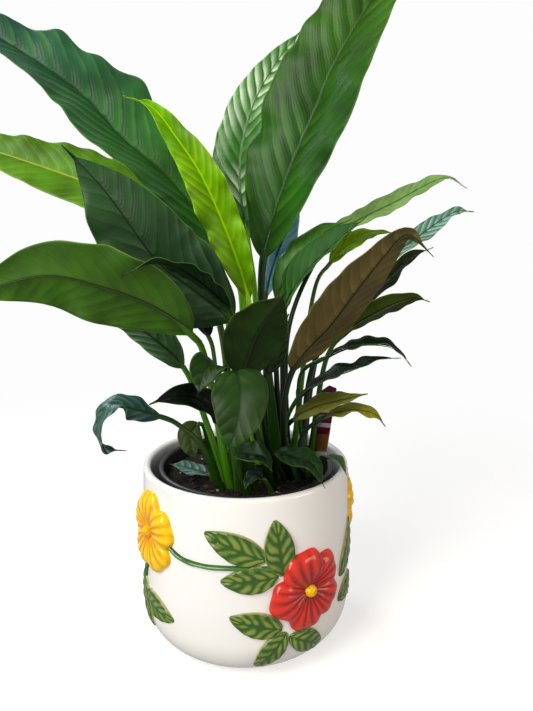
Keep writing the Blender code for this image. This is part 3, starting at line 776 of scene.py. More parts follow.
@dataclass
class CoverPot:
    """The glazed cover pot, turned with a rounded lip and a shallow hollow under the foot."""

    sides: int = 160
    foot_hollow: float = 1.5 * MM
    foot_ring: float = 9 * MM

    def outline(self) -> list[tuple[float, float]]:
        """The pot's section.

        Returns:
            (radius, height) places from the middle of the foot, up the outside, over the lip and down
            to the inner floor.
        """
        ring = FOOT_RADIUS - self.foot_ring
        points = [(0.0, self.foot_hollow), (ring, self.foot_hollow), (ring + 2 * MM, 0.0)]
        bend = BELLY_RADIUS - FOOT_RADIUS
        for step in range(18):
            angle = math.pi / 2 * step / 18
            points.append((FOOT_RADIUS + bend * math.sin(angle), BELLY_HEIGHT * (1 - math.cos(angle))))
        lip = POT_WALL / 2
        top = POT_HEIGHT - lip
        straight = [BELLY_HEIGHT + (top - BELLY_HEIGHT) * step / 16 for step in range(17)]
        points += [(outer_radius(height), height) for height in straight]
        middle = outer_radius(top) - lip
        points += [(middle + lip * math.cos(math.pi * step / 12), top + lip * math.sin(math.pi * step / 12))
                   for step in range(1, 12)]
        points += [(outer_radius(height) - POT_WALL, height) for height in reversed(straight)]
        points += [(outer_radius(height) - POT_WALL, height)
                   for height in (36 * MM, 30 * MM, 24 * MM, 18 * MM, 13 * MM)]
        inner = outer_radius(POT_FLOOR) - POT_WALL
        return points + [(inner - 2 * MM, POT_FLOOR), (inner * 0.5, POT_FLOOR), (0.0, POT_FLOOR)]

    def build(self) -> bpy.types.Object:
        """Builds and dresses the pot."""
        shape = turned(self.outline(), self.sides)
        shape.loops.layers.uv.new("surface")
        return finished("cover_pot_body", shape, Slot.WHITE, ("cover_pot",), TinGlaze().make())


@dataclass(frozen=True)
class Petal:
    """One petal: the heading of its middle on the wall and its half opening in degrees, its length as
    a share of the flower's radius and how far it lies over its neighbours in mm."""

    middle: float
    spread: float
    reach: float
    lift: float


@dataclass(frozen=True)
class Flower:
    """One moulded flower: its bearing round the pot, its height above the belly in mm and its petals."""

    bearing: float
    climb: float
    petals: tuple[Petal, ...]


@dataclass(frozen=True)
class MouldedLeaf:
    """One moulded leaf: the bearing of its base, the base's height above the belly in mm, its heading
    on the wall, and its length and width in mm."""

    bearing: float
    climb: float
    heading: float
    length: float
    width: float

    def half(self, share: float) -> float:
        """Half its width in metres at a share of its length."""
        return max(self.width / 2 * math.sin(math.pi * min(share, 1.0) ** 0.85) ** 0.75, 0.6) * MM


@dataclass
class WallSpray:
    """One spray of moulded flowers, leaves and stems on the pot's wall. Stems are the places that they
    pass through, as (bearing, height above the belly in mm)."""

    number: int
    turn: float
    leaf_relief: float = 4.5 * MM
    leaf_pairs: float = 5.5
    petal_relief: float = 9 * MM
    petal_ribs: int = 6
    sink: float = 1.2 * MM
    flower_radius: float = 41 * MM
    eye_radius: float = 6 * MM
    stem_width: float = 5 * MM
    leaves: tuple[MouldedLeaf, ...] = (
        MouldedLeaf(282, 84, 156, 64, 29),
        MouldedLeaf(290, 66, 98, 57, 31),
        MouldedLeaf(288, 68, 184, 55, 28),
        MouldedLeaf(290, 14, 163, 53, 27),
        MouldedLeaf(292, 10, 228, 47, 24),
        MouldedLeaf(293, 5, 332, 46, 25),
        MouldedLeaf(330, 37, 52, 62, 25),
        MouldedLeaf(328, 14, 15, 44, 22),
        MouldedLeaf(204, 18, 352, 55, 26),
        MouldedLeaf(200, 40, 292, 60, 20),
    )
    stems: tuple[tuple[tuple[float, float], ...], ...] = (
        ((222, 95), (236, 80), (250, 77), (268, 78), (286, 76)),
        ((212, 60), (205, 42), (203, 20)),
    )
    red_flower: Flower = Flower(304, 47, (
        Petal(104, 60, 1.0, 1.6), Petal(36, 50, 1.0, 0.0), Petal(-34, 52, 1.0, 0.8),
        Petal(-98, 50, 1.0, 0.2), Petal(-164, 54, 1.0, 1.0)))
    yellow_flower: Flower = Flower(213, 90, (
        Petal(90, 52, 1.0, 0.4), Petal(22, 52, 0.97, 1.0), Petal(-54, 54, 1.0, 0.2),
        Petal(-124, 52, 1.0, 1.2), Petal(162, 52, 1.0, 0.7)))

    def spot(self, bearing: float, climb: float, along: float, across: float, heading: float,
             out: float) -> Vector:
        """A point off the wall, reached from a place by going along a heading and then across it.

        Args:
            bearing: the place's bearing round the pot, before the spray's own turn.
            climb: its height above the belly.
            along: how far to go along the heading.
            across: how far to go to the left of it.
            heading: degrees on the wall, with 0 towards greater bearings and 90 upwards.
            out: distance off the wall.

        Returns:
            The point.
        """
        turn = math.radians(heading)
        sideways = along * math.cos(turn) - across * math.sin(turn)
        upwards = along * math.sin(turn) + across * math.cos(turn)
        return wall_point(bearing + self.turn + math.degrees(sideways / BELLY_RADIUS), climb + upwards, out)

    def leaf_spot(self, leaf: MouldedLeaf, lifted: bool, across: float, share: float) -> Spot:
        """A place on a moulded leaf, which is puffed up between slanted side grooves and rolled at its
        edge.

        Args:
            leaf: the leaf.
            lifted: true on its front and false on its back, which is sunk into the wall.
            across: from -1 at one edge to 1 at the other.
            share: the share of the way along.

        Returns:
            The point, its surface coordinates and its tones: how puffed it is, how near an edge, and
            the share.
        """
        height, tone = -self.sink, (0.0, 1.0, share)
        if lifted:
            side, end = abs(across), abs(2 * share - 1)
            wander = noise.noise(Vector((share * 3, across * 2, leaf.bearing + leaf.length)))
            groove = math.sin(math.pi * (share * self.leaf_pairs - side * 1.35 + 0.35 * wander))
            puff = abs(groove) ** 1.2 * min(1.0, side * 6) * (1 + 0.4 * wander)
            shoulder = max(0.0, 1 - side ** 6) ** 0.5 * max(0.0, 1 - end ** 14) ** 0.5
            swell = self.leaf_relief * (0.45 + 0.55 * math.sin(math.pi * share ** 0.9))
            rolled = 0.35 * max(0.0, side - 0.55) / 0.45
            height += (swell * (0.62 + 0.22 * puff + rolled) + self.sink) * shoulder
            tone = (puff * (1 - side ** 5) * (0.9 + 0.5 * wander), max(side, end ** 3), share)
        reach = across * leaf.half(share)
        along = share * leaf.length * MM
        point = self.spot(leaf.bearing, leaf.climb * MM, along, reach, leaf.heading, height)
        return point, (across, share), tone

    def leaf(self, leaf: MouldedLeaf) -> bmesh.types.BMesh:
        """The closed mesh of one moulded leaf."""
        return close_up(lay_grids(26, 40, partial(self.leaf_spot, leaf, True),
                                  partial(self.leaf_spot, leaf, False)))

    def stem_spot(self, route: list[Vector], lifted: bool, across: float, share: float) -> Spot:
        """A place on a moulded stem, which is round in front and a little knotted along its length.

        Args:
            route: the stem's places, as (bearing, height above the belly in mm).
            lifted: true on its front and false on its back.
            across: from -1 at one edge to 1 at the other.
            share: the share of the way along.

        Returns:
            The point, its surface coordinates and its tones, as on a leaf.
        """
        last = len(route) - 1
        number = round(share * last)
        here = route[number]
        run = route[min(number + 1, last)] - route[max(number - 1, 0)]
        heading = math.degrees(math.atan2(run.y * MM, math.radians(run.x) * BELLY_RADIUS))
        crown = math.sqrt(max(0.0, 1 - across * across))
        knot = 1 + 0.12 * noise.noise(Vector((share * 9, self.number, 0)))
        out = -self.sink + (self.leaf_relief * 0.72 * knot + self.sink) * crown * lifted
        point = self.spot(here.x, here.y * MM, 0.0, across * self.stem_width / 2 * knot, heading, out)
        return point, (across, share), (crown * 0.9, abs(across) * 0.96, share)

    def stem(self, points: tuple[tuple[float, float], ...]) -> bmesh.types.BMesh:
        """A moulded stem on a smooth curve.

        Args:
            points: the places that it passes through.

        Returns:
            Its closed mesh.
        """
        pieces = 14
        knots = [Vector((bearing, climb, 0)) for bearing, climb in points]
        steps = pieces * (len(knots) - 1)
        route = [smooth_route(knots, step / pieces) for step in range(steps + 1)]
        return close_up(lay_grids(12, steps, partial(self.stem_spot, route, True),
                                  partial(self.stem_spot, route, False)))

    def petal_spot(self, flower: Flower, petal: Petal, lifted: bool, across: float, share: float) -> Spot:
        """A place on a pillowed petal, which is gathered into ribs where it meets the eye.

        Args:
            flower: the flower that it belongs to.
            petal: the petal.
            lifted: true on its front and false on its back.
            across: from -1 at one side to 1 at the other.
            share: the share of the way out from the eye.

        Returns:
            The point, its surface coordinates and its tones, as on a leaf, with the first tone darkened
            towards the eye as painted shade.
        """
        lobe = 1 - 0.38 * across ** 2 + 0.035 * math.cos(across * 8.5 + petal.middle)
        length = self.flower_radius * petal.reach
        reach = length * (0.08 + 0.92 * share) * (1 + (lobe - 1) * share ** 0.7)
        wander = noise.noise(Vector((across * 1.7, share * 1.2, petal.middle)))
        ribs = 0.5 + 0.5 * math.cos(across * math.pi * self.petal_ribs + 2.6 * wander)
        gathered = 0.3 + 0.7 * max(0.0, 1 - share ** 2.5)
        cup = 0.32 + 0.68 * math.sin(math.pi / 2 * min(1.0, share / 0.72)) ** 1.4
        side = max(0.0, 1 - abs(across) ** 3.4) ** 0.55
        brink = max(0.0, 1 - share ** 7) ** 0.55
        height = self.petal_relief * cup * (0.78 + 0.17 * ribs * gathered + 0.12 * wander)
        out = -self.sink + (height + petal.lift * MM + self.sink) * side * brink * lifted
        heading = petal.middle + across * petal.spread
        point = self.spot(flower.bearing, flower.climb * MM, reach, 0.0, heading, out)
        high = 0.12 + 0.88 * ribs ** 0.8 * gathered + 0.75 * (1 - gathered)
        edge = max(share ** 2, abs(across) * 0.95) * 0.99
        # Painted shade: the first tone darkens towards the eye, where the petals sink into a funnel round it.
        return point, (across, share), (high * min(1.0, 0.3 + share * 1.3), edge, share)

    def flower(self, flower: Flower) -> bmesh.types.BMesh:
        """The petals of one flower, each closed."""
        return joined([close_up(lay_grids(30, 26, partial(self.petal_spot, flower, petal, True),
                                          partial(self.petal_spot, flower, petal, False)))
                       for petal in flower.petals])

    def eye(self, flower: Flower) -> bmesh.types.BMesh:
        """The pimpled button in the middle of a flower.

        Args:
            flower: the flower.

        Returns:
            Its closed mesh.
        """
        shape = bmesh.new()
        tone = shape.verts.layers.float_vector.new("tone")
        bmesh.ops.create_icosphere(shape, subdivisions=4, radius=self.eye_radius)
        for vert in shape.verts:
            pimple = noise.noise(vert.co * 900)
            vert.co *= 1 + 0.07 * pimple
            vert[tone] = (0.6 + 0.6 * pimple, 0.0, 0.0)
        centre = wall_point(flower.bearing + self.turn, flower.climb * MM, 0.4 * self.petal_relief)
        bmesh.ops.translate(shape, verts=shape.verts, vec=centre)
        return shape

    def build(self) -> None:
        """Builds and dresses the spray."""
        name, node = f"spray_{self.number}", ("cover_pot",)
        leaf_green = BrushedGlaze(f"brushed_leaf_glaze_{self.number}", "#7f8f3e", "#2f5a14", "#cbc28e", 0.88)
        stem_green = BrushedGlaze(f"brushed_stem_glaze_{self.number}", "#4a7832", "#1a4218", "#b9b684", 0.86)
        red = BrushedGlaze(f"brushed_red_glaze_{self.number}", "#dc3424", "#96150c", "#d8604c", 0.985)
        yellow = BrushedGlaze(f"brushed_yellow_glaze_{self.number}", "#ffd000", "#d98a00", "#ecd050",
                              0.985).make()
        leaves = joined([self.leaf(leaf) for leaf in self.leaves])
        finished(f"{name}_leaves", leaves, Slot.GREEN, node, leaf_green.make())
        stems = joined([self.stem(stem) for stem in self.stems])
        finished(f"{name}_stems", stems, Slot.GREEN, node, stem_green.make())
        finished(f"{name}_red_flower", self.flower(self.red_flower), Slot.RED, node, red.make())
        finished(f"{name}_yellow_flower", self.flower(self.yellow_flower), Slot.YELLOW, node, yellow)
        eyes = joined([self.eye(flower) for flower in (self.red_flower, self.yellow_flower)])
        finished(f"{name}_eyes", eyes, Slot.YELLOW, node, yellow)


# --- Grow pot, potting mix and label ---

def grow_inner_radius(height: float) -> float:
    """The grow pot's inner radius, on its straight taper.

    Args:
        height: metres above the cover pot's foot.

    Returns:
        The radius in metres.
    """
    share = (height - POT_FLOOR) / (GROW_TOP - POT_FLOOR)
    top_inner = GROW_RIM_RADIUS - GROW_RIM_WIDTH
    return GROW_BASE_RADIUS - GROW_WALL + (top_inner - GROW_BASE_RADIUS + GROW_WALL) * share


@dataclass
class GrowPot:
    """The thin black pot that the plant grows in, with a rolled rim, a step below it and drain holes."""

    sides: int = 144
    drain_radius: float = 5 * MM
    drain_count: int = 6
    drain_ring: float = 0.62
    step_height: float = 26 * MM

    def outline(self) -> list[tuple[float, float]]:
        """The grow pot's section.

        Returns:
            (radius, height) places from the middle of the base, up the outside, over the rolled rim
            and down the inside.
        """
        base = POT_FLOOR + GAP
        skirt = GROW_TOP - GROW_RIM_HEIGHT
        inner_floor = base + GROW_FLOOR
        roll = GROW_RIM_WIDTH / 2
        middle = GROW_RIM_RADIUS - roll
        points = [(0.0, base), (grow_inner_radius(base) + GROW_WALL - 2 * MM, base),
                  (grow_inner_radius(base) + GROW_WALL, base + 2 * MM)]
        climb = [base + (skirt - base) * step / 8 for step in range(1, 9)]
        points += [(grow_inner_radius(height) + GROW_WALL, height) for height in climb]
        points += [(GROW_RIM_RADIUS - 0.8 * MM, skirt), (GROW_RIM_RADIUS, skirt + 0.8 * MM)]
        bend = [math.pi * step / 10 for step in range(11)]
        points += [(middle + roll * math.cos(angle), GROW_TOP - roll + roll * math.sin(angle))
                   for angle in bend]
        ledge = GROW_TOP - self.step_height
        points += [(grow_inner_radius(ledge) + 0.6 * MM, ledge + 1 * MM), (grow_inner_radius(ledge), ledge)]
        return points + [(grow_inner_radius(inner_floor), inner_floor), (0.0, inner_floor)]

    def drill(self, pot: bpy.types.Object) -> None:
        """Cuts the drain holes through the base.

        Args:
            pot: the pot's object, whose mesh is replaced by the cut one.
        """
        drills = bmesh.new()
        for number in range(self.drain_count):
            place = direction(360 * number / self.drain_count, 0) * GROW_BASE_RADIUS * self.drain_ring
            place.z = POT_FLOOR + GAP + GROW_FLOOR / 2
            made = bmesh.ops.create_cone(drills, cap_ends=True, segments=24, radius1=self.drain_radius,
                                         radius2=self.drain_radius, depth=3 * GROW_FLOOR)
            bmesh.ops.translate(drills, verts=made["verts"], vec=place)
        mesh = bpy.data.meshes.new("drills")
        drills.to_mesh(mesh)
        drills.free()
        cutter = bpy.data.objects.new("drills", mesh)
        bpy.context.scene.collection.objects.link(cutter)
        cut = pot.modifiers.new("drain", "BOOLEAN")
        cut.operation = "DIFFERENCE"
        cut.solver = "EXACT"
        cut.object = cutter
        graph = bpy.context.evaluated_depsgraph_get()
        drilled = bpy.data.meshes.new_from_object(pot.evaluated_get(graph))
        pot.modifiers.clear()
        pot.data = drilled
        bpy.data.objects.remove(cutter)

    def build(self) -> bpy.types.Object:
        """Builds and dresses the pot.

        Returns:
            The piece.
        """
        shape = turned(self.outline(), self.sides)
        pot = finished("grow_pot_shell", shape, Slot.BLACK, ("grow_pot",), MouldedPolypropylene().make())
        self.drill(pot)
        return pot


@dataclass
class PottingMix:
    """The potting mix: a crumbly top with bark chips, perlite and crumbs bedded in it. Near the pot's
    wall the top falls away."""

    sides: int = 120
    rings: int = 34
    edge_from: float = 8 * MM
    edge_run: float = 7 * MM
    edge_drop: float = 3 * MM
    settled: float = 0.6 * MM
    crumb_mm: float = 1.3
    bark_count: int = 150
    perlite_count: int = 60
    crumb_count: int = 420
    seed: int = 7

    def top(self, x: float, y: float) -> float:
        """The height of the mix at a place.

        Args:
            x: metres along +X.
            y: metres along +Y.

        Returns:
            The height in metres, never above the flat top by more than the crumbs.
        """
        radius = math.hypot(x, y)
        flat = grow_inner_radius(SOIL_TOP) - self.edge_from
        drop = self.edge_drop * min(1.0, max(0.0, (radius - flat) / self.edge_run))
        crumbs = noise.noise(Vector((x, y, 0)) * 140) * 1.4 + noise.noise(Vector((x, y, 5)) * 420) * 0.8
        return SOIL_TOP - drop - self.settled + crumbs * self.crumb_mm * 0.6 * MM

    def bed(self) -> bmesh.types.BMesh:
        """The body of the mix, with a crumbly top.

        Returns:
            Its closed mesh.
        """
        base = POT_FLOOR + 2 * GAP + GROW_FLOOR
        wall = grow_inner_radius(SOIL_TOP - self.edge_drop) - GAP
        outline = [(0.0, base), (grow_inner_radius(base) - GAP, base), (wall, SOIL_TOP - 3.5 * MM)]
        outline += [(wall * (1 - step / self.rings), SOIL_TOP) for step in range(1, self.rings + 1)]
        shape = turned(outline, self.sides)
        for vert in shape.verts:
            if vert.co.z > SOIL_TOP - 0.5 * MM:
                vert.co.z = self.top(vert.co.x, vert.co.y)
        return shape

    def scatter(self, draw: random.Random, count: int, least: float, most: float, flatness: float,
                rough: float) -> bmesh.types.BMesh:
        """Lumps bedded in the top of the mix.

        Args:
            draw: where the chance comes from.
            count: how many lumps.
            least: the smallest lump's length in mm.
            most: the largest lump's length in mm.
            flatness: thickness as a share of length.
            rough: how far points stray, as a share of the size.

        Returns:
            One mesh of all the lumps.
        """
        shape = bmesh.new()
        reach = grow_inner_radius(SOIL_TOP) - 4 * MM
        for _ in range(count):
            size = draw.uniform(least, most) / 2 * MM
            radius, turn = reach * math.sqrt(draw.random()), draw.uniform(0, math.tau)
            x, y = radius * math.cos(turn), radius * math.sin(turn)
            verts = bmesh.ops.create_icosphere(shape, subdivisions=1, radius=1.0)["verts"]
            for vert in verts:
                vert.co *= 1 + draw.uniform(-rough, rough)
            bmesh.ops.scale(shape, verts=verts, vec=(size, size * draw.uniform(0.45, 0.9), size * flatness))
            lean, spin = draw.uniform(-0.5, 0.5), draw.uniform(0, math.tau)
            axis = Vector((math.cos(spin), math.sin(spin), lean)).normalized()
            place = Vector((x, y, self.top(x, y) + size * flatness * 0.35))
            turned_by = axis.to_track_quat("X", "Z").to_matrix()
            bmesh.ops.rotate(shape, verts=verts, cent=(0, 0, 0), matrix=turned_by)
            bmesh.ops.translate(shape, verts=verts, vec=place)
        bmesh.ops.recalc_face_normals(shape, faces=shape.faces)
        return shape

    def build(self) -> None:
        """Builds and dresses the mix and what lies in it."""
        draw = random.Random(self.seed)
        peat = LooseFill("dark_peat_mix", "#060504", "#241c14", 2.4, 0.95, 1.2).make()
        bark = LooseFill("pine_bark_chips", "#170e08", "#5c4430", 3.5, 0.85, 0.5).make()
        perlite = LooseFill("perlite_grains", "#8f8a7e", "#e8e4d8", 1.6, 0.9, 0.3).make()
        peat_crumb = LooseFill("peat_crumbs", "#0a0806", "#382c20", 1.6, 0.95, 0.4).make()
        node, slot = ("potting_mix",), Slot.MIX
        finished("mix_bed", self.bed(), slot, node, peat, sharp=80)
        chips = self.scatter(draw, self.bark_count, 3.5, 9.0, 0.45, 0.22)
        finished("mix_bark", chips, slot, node, bark, sharp=30)
        grains = self.scatter(draw, self.perlite_count, 1.8, 4.2, 0.8, 0.15)
        finished("mix_perlite", grains, slot, node, perlite, sharp=60)
        crumbs = self.scatter(draw, self.crumb_count, 1.5, 4.0, 0.7, 0.25)
        finished("mix_crumbs", crumbs, slot, node, peat_crumb, sharp=60)


@dataclass
class PlantLabel:
    """The care label: a slanted-top card on a narrow stake, pushed into the mix beside the leaves."""

    width: float = 19 * MM
    card_height: float = 76 * MM
    stake_height: float = 20 * MM
    thickness: float = 1.2 * MM
    corner: float = 1.1 * MM
    softness: float = 0.25 * MM
    shoulder: float = 6 * MM
    pushed_in: float = 1 * MM
    place: tuple[float, float] = (74 * MM, 2 * MM)
    turn: float = -45.0
    lean: float = 9.0

    def build(self) -> bpy.types.Object:
        """Builds and dresses the label.

        Returns:
            The piece.
        """
        half = self.width / 2
        stake = half * 0.45
        low, top = self.stake_height, self.stake_height + self.card_height
        slant = self.width * 0.5
        outline = [(-stake, 0.0), (stake, 0.0), (stake, low - self.shoulder), (half, low), (half, top),
                   (-half + slant, top), (-half, top - slant), (-half, low), (-stake, low - self.shoulder)]
        shape = bmesh.new()
        shape.faces.new([shape.verts.new((x, -self.thickness / 2, z)) for x, z in outline])
        pushed = bmesh.ops.extrude_face_region(shape, geom=shape.faces[:])
        moved = [item for item in pushed["geom"] if isinstance(item, bmesh.types.BMVert)]
        bmesh.ops.translate(shape, verts=moved, vec=(0, self.thickness, 0))
        upright = [edge for edge in shape.edges
                   if abs(edge.verts[0].co.y - edge.verts[1].co.y) > self.thickness / 2]
        bmesh.ops.bevel(shape, geom=upright, offset=self.corner, offset_type="OFFSET", affect="EDGES",
                        segments=4, profile=0.5, material=-1, clamp_overlap=True)
        bmesh.ops.recalc_face_normals(shape, faces=shape.faces)
        rims = [edge for edge in shape.edges if edge.calc_face_angle(0.0) > math.radians(80)]
        bmesh.ops.bevel(shape, geom=rims, offset=self.softness, offset_type="OFFSET", affect="EDGES",
                        segments=2, profile=0.5, material=-1, clamp_overlap=True)
        uv = shape.loops.layers.uv.new("surface")
        for face in shape.faces:
            for loop in face.loops:
                loop[uv].uv = (loop.vert.co.x * 100, loop.vert.co.z * 100)
        turn, lean = math.radians(self.turn), math.radians(self.lean)
        for vert in shape.verts:
            x, y, z = vert.co
            x, z = x * math.cos(lean) + z * math.sin(lean), z * math.cos(lean) - x * math.sin(lean)
            x, y = x * math.cos(turn) - y * math.sin(turn), x * math.sin(turn) + y * math.cos(turn)
            vert.co = (x + self.place[0], y + self.place[1], z + SOIL_TOP + 2 * GAP - self.pushed_in)
        return finished("plant_label_card", shape, Slot.CARD, ("plant_label",), PrintedCard().make())


# --- Leaves ---

@dataclass(frozen=True)
class LeafLook:
    """How one leaf is coloured, painted light and shade included, and how lively its blade is."""

    upper: str = "#2f5c1e"
    tip: str = "#2f5c1e"
    shine: str = "#5b8250"
    under: str = "#3d5626"
    rib: str = "#24451c"
    edge: str = "#5f8a3c"
    stalk: str = "#2e5212"
    neck: str = "#34581a"
    scorch: str = ""
    roughness: float = 0.36
    shine_share: float = 0.45
    ruffle: float = 2.0
    quilt: float = 0.9


@dataclass(frozen=True)
class Leaf:
    """One leaf. The stalk and the blade are runs of (length mm, rise above level, heading), with
    headings in degrees from +X towards +Y. The facings give which way the blade's upper side looks
    at its base and at its tip, as (heading, rise)."""

    name: str
    slot: Slot
    root: tuple[float, float]
    width: float
    stalk: tuple[tuple[float, float, float], ...]
    blade: tuple[tuple[float, float, float], ...]
    facing: tuple[float, float]
    tip_facing: tuple[float, float] | tuple[()] = ()
    fold: float = 12.0

    @property
    def look(self) -> LeafLook:
        """How the leaf is coloured."""
        return LOOKS.get(self.name, LeafLook())

    def run_ends(self) -> list[Vector]:
        """The points where the runs of the leaf end.

        Returns:
            The root on the mix and then the end of each run.
        """
        spot = Vector((self.root[0] * MM, self.root[1] * MM, SOIL_TOP + GAP))
        points = [spot]
        for length, rise, heading in self.stalk + self.blade:
            spot = spot + direction(heading, rise) * length * MM
            points.append(spot)
        return points

    @staticmethod
    def blade_share(share: float) -> float:
        """The half width of a blade along its length.

        Args:
            share: the share of the way to the tip.

        Returns:
            The half width as a share of the widest place, down to a narrow drip tip.
        """
        body = min(share / 0.93, 1.0)
        swell = math.sin(math.pi * body ** 0.82) ** 0.8 if body < 1 else 0.0
        drip_tip = 0.075 * max(0.12, min(1.0, (1 - share) / 0.13)) if share > 0.5 else 0.0
        return max(swell, drip_tip)

    def stalk_radius(self) -> float:
        """The radius of the stalk at the blade."""
        return (1.6 + 0.018 * self.width) * MM

    def frames(self, route: list[Vector], shares: list[float]) -> list[tuple[Vector, Vector, Vector]]:
        """Where the leaf is at each station and which way its width and its upper side run.

        Args:
            route: the midrib's places.
            shares: how far along the blade each is, 0 on the stalk.

        Returns:
            The place, the direction across and the direction of the upper side for each.
        """
        base = direction(*self.facing)
        tip = direction(*(self.tip_facing or self.facing))
        frames = []
        last = len(route) - 1
        for number, (spot, share) in enumerate(zip(route, shares)):
            along = (route[min(number + 1, last)] - route[max(number - 1, 0)]).normalized()
            side = along.cross(base.lerp(tip, share)).normalized()
            frames.append((spot, side, side.cross(along)))
        return frames

    def length(self) -> float:
        """The blade's length in mm along its runs."""
        return sum(run[0] for run in self.blade)

    def vein_spacing(self) -> float:
        """How far apart the side veins leave the midrib, in mm."""
        return 6.0 + 0.15 * self.width

    def blade_sheet(self) -> bmesh.types.BMesh:
        """The blade, folded at the midrib, quilted between the veins, ruffled along the edges and drawn
        out at the tip.

        Returns:
            An open sheet with its upper side outwards.
        """
        points, neck = self.run_ends(), len(self.stalk)
        rows = max(28, round(self.length() / 2.6))
        columns = 2 * max(7, round(self.width / 6.0))
        route = even_places(points, neck, len(points) - 1, rows)
        frames = self.frames(route, [number / rows for number in range(rows + 1)])
        widest, spacing, look = self.width / 2, self.vein_spacing(), self.look
        wave = 22 + 0.35 * self.width
        own = sum(map(ord, self.name)) % 97
        tilt = math.radians(self.fold)

        def place(across: float, share: float) -> Spot:
            """A place on the blade.

            Args:
                across: from -1 at one edge to 1 at the other.
                share: the share of the way to the tip.

            Returns:
                The point, then the count of veins and centimetres from the midrib, then the share out
                to the edge, the share along and which side it is.
            """
            spot, side, face = frames[round(share * rows)]
            gone = share * self.length()
            signed = 1.0 if across >= 0 else -1.0
            out = abs(across)
            wander = noise.noise(Vector((gone / wave * 2.2, own + signed * 7, 0)))
            scallop = 1 + 0.07 * wander * min(1.0, look.ruffle / 3) * min(1.0, self.width / 60)
            neck_half = 0.9 * self.stalk_radius() / MM * (1 - share) ** 6
            half = max(widest * self.blade_share(share) * scallop, neck_half, 0.25)
            x = half * out
            # The side veins sweep forward on their way out, and the two sides are out of step.
            stagger = 0.3 * signed * min(1.0, x / 4)
            count = (gone - 0.9 * x - 0.6 * x * x / widest) / spacing + stagger + own * 0.1
            fade = min(1.0, x / 4) * (1 - out ** 5) * min(1.0, (1 - share) * 6) * min(1.0, share * 10)
            quilt = look.quilt * (math.sin(math.pi * (count % 1.0) ** 0.7) ** 0.8 - 0.5) * fade
            # The edge is longer than the midrib, so it ruffles, most where the blade is widest.
            belly = math.sin(math.pi * share) ** 0.5
            ruffle = 2.6 * look.ruffle * out ** 2.2 * wander * belly
            broad = 1.4 * look.ruffle * noise.noise(Vector((gone / wave * 0.8, own, 9))) * out * belly
            # Each half arches a little, and the midrib lies in a channel that runs out at the tip.
            arch = 0.05 * half * math.sin(math.pi * out)
            channel = -0.6 * math.exp(-(x / 2.2) ** 2) * (1 - share)
            rise = x * math.sin(tilt) * min(1.0, share * 5) + quilt + ruffle + broad + arch + channel
            point = spot + side * (signed * x * math.cos(tilt) * MM) + face * (rise * MM)
            return point, (count, x / 10), (out, share, signed)

        sheet = lay_grids(columns, rows, place)
        sheet.normal_update()
        return sheet

    def stalk_tube(self) -> bmesh.types.BMesh:
        """The stalk, sheathed and flattened at its foot, and the rib it becomes under the blade.

        Returns:
            Its closed mesh.
        """
        points, neck = self.run_ends(), len(self.stalk)
        stalk_length = sum(run[0] for run in self.stalk)
        stalk_rows = max(10, round(stalk_length / 6))
        blade_rows = max(16, round(self.length() / 6))
        down = points[0] - Vector((0, 0, STALK_BURIED))
        route = [down] + even_places(points, 0, neck, stalk_rows)
        route += even_places(points, neck, len(points) - 1, blade_rows)[1:]
        shares = [0.0] * (stalk_rows + 2) + [step / blade_rows for step in range(1, blade_rows + 1)]
        frames = self.frames(route, shares)
        last, thick = len(route) - 1, self.stalk_radius() / MM
        # A long stalk wraps its neighbours with a broad sheath at the foot; a short one hardly does.
        sheath = 1.0 + 0.55 * min(1.0, stalk_length / 90)

        def place(around: float, gone: float) -> Spot:
            """A place on the stalk.

            Args:
                around: half turns from its underside, from -1 to 1.
                gone: the share of the way from the foot to the blade's tip.

            Returns:
                The point, then half turns round and centimetres along, then how far it is under the
                blade and how far up the stalk.
            """
            number = round(gone * last)
            spot, side, face = frames[number]
            share = shares[number]
            low = max(0.0, 1 - number / (stalk_rows + 1))
            under = min(1.0, share * 9)
            swollen = math.exp(-((number - stalk_rows - 1) / 2) ** 2) * 0.15
            taper = (1 - share) ** 0.9 * (1 - 0.45 * under)
            radius = max(thick * (taper + (sheath - 1) * low ** 1.4 + swollen), 0.16)
            angle = math.pi * around
            x = radius * (1.0 + 0.25 * low) * math.sin(angle)
            z = -radius * math.cos(angle)
            if z > 0:
                z *= 0.9 - 0.28 * under - 0.5 * low * (1 - abs(math.sin(angle)))
            sunk = (radius * 0.75 + 0.9) * under
            point = spot + side * (x * MM) + face * ((z - sunk) * MM)
            return point, (around, gone * (stalk_length + self.length()) / 20), (under, 1 - low, 0.0)

        return close_up(lay_grids(12, last, place))

    def build(self) -> None:
        """Builds and dresses the blade and the stalk."""
        look, node = self.look, (f"leaf_{self.name}",)
        upper = LeafSkin(f"cuticle_{self.name}", look.upper, look.tip, look.shine, look.rib, look.edge,
                         look.scorch or look.tip, look.roughness, look.shine_share).make()
        under = LeafSkin(f"underleaf_{self.name}", look.under, look.under, look.shine, look.rib, look.edge,
                         look.scorch or look.under, 0.55, look.shine_share * 0.5).make()
        stem = StalkSkin(f"stalk_skin_{self.name}", look.stalk, look.neck, look.rib).make()
        blade = finished(f"blade_{self.name}", self.blade_sheet(), self.slot, node, upper, under, sharp=80)
        wall = blade.modifiers.new("flesh", "SOLIDIFY")
        wall.thickness = BLADE_THICKNESS
        wall.offset = -1.0
        wall.use_rim = True
        wall.material_offset = 1
        finished(f"stalk_{self.name}", self.stalk_tube(), self.slot, node, stem, sharp=80)


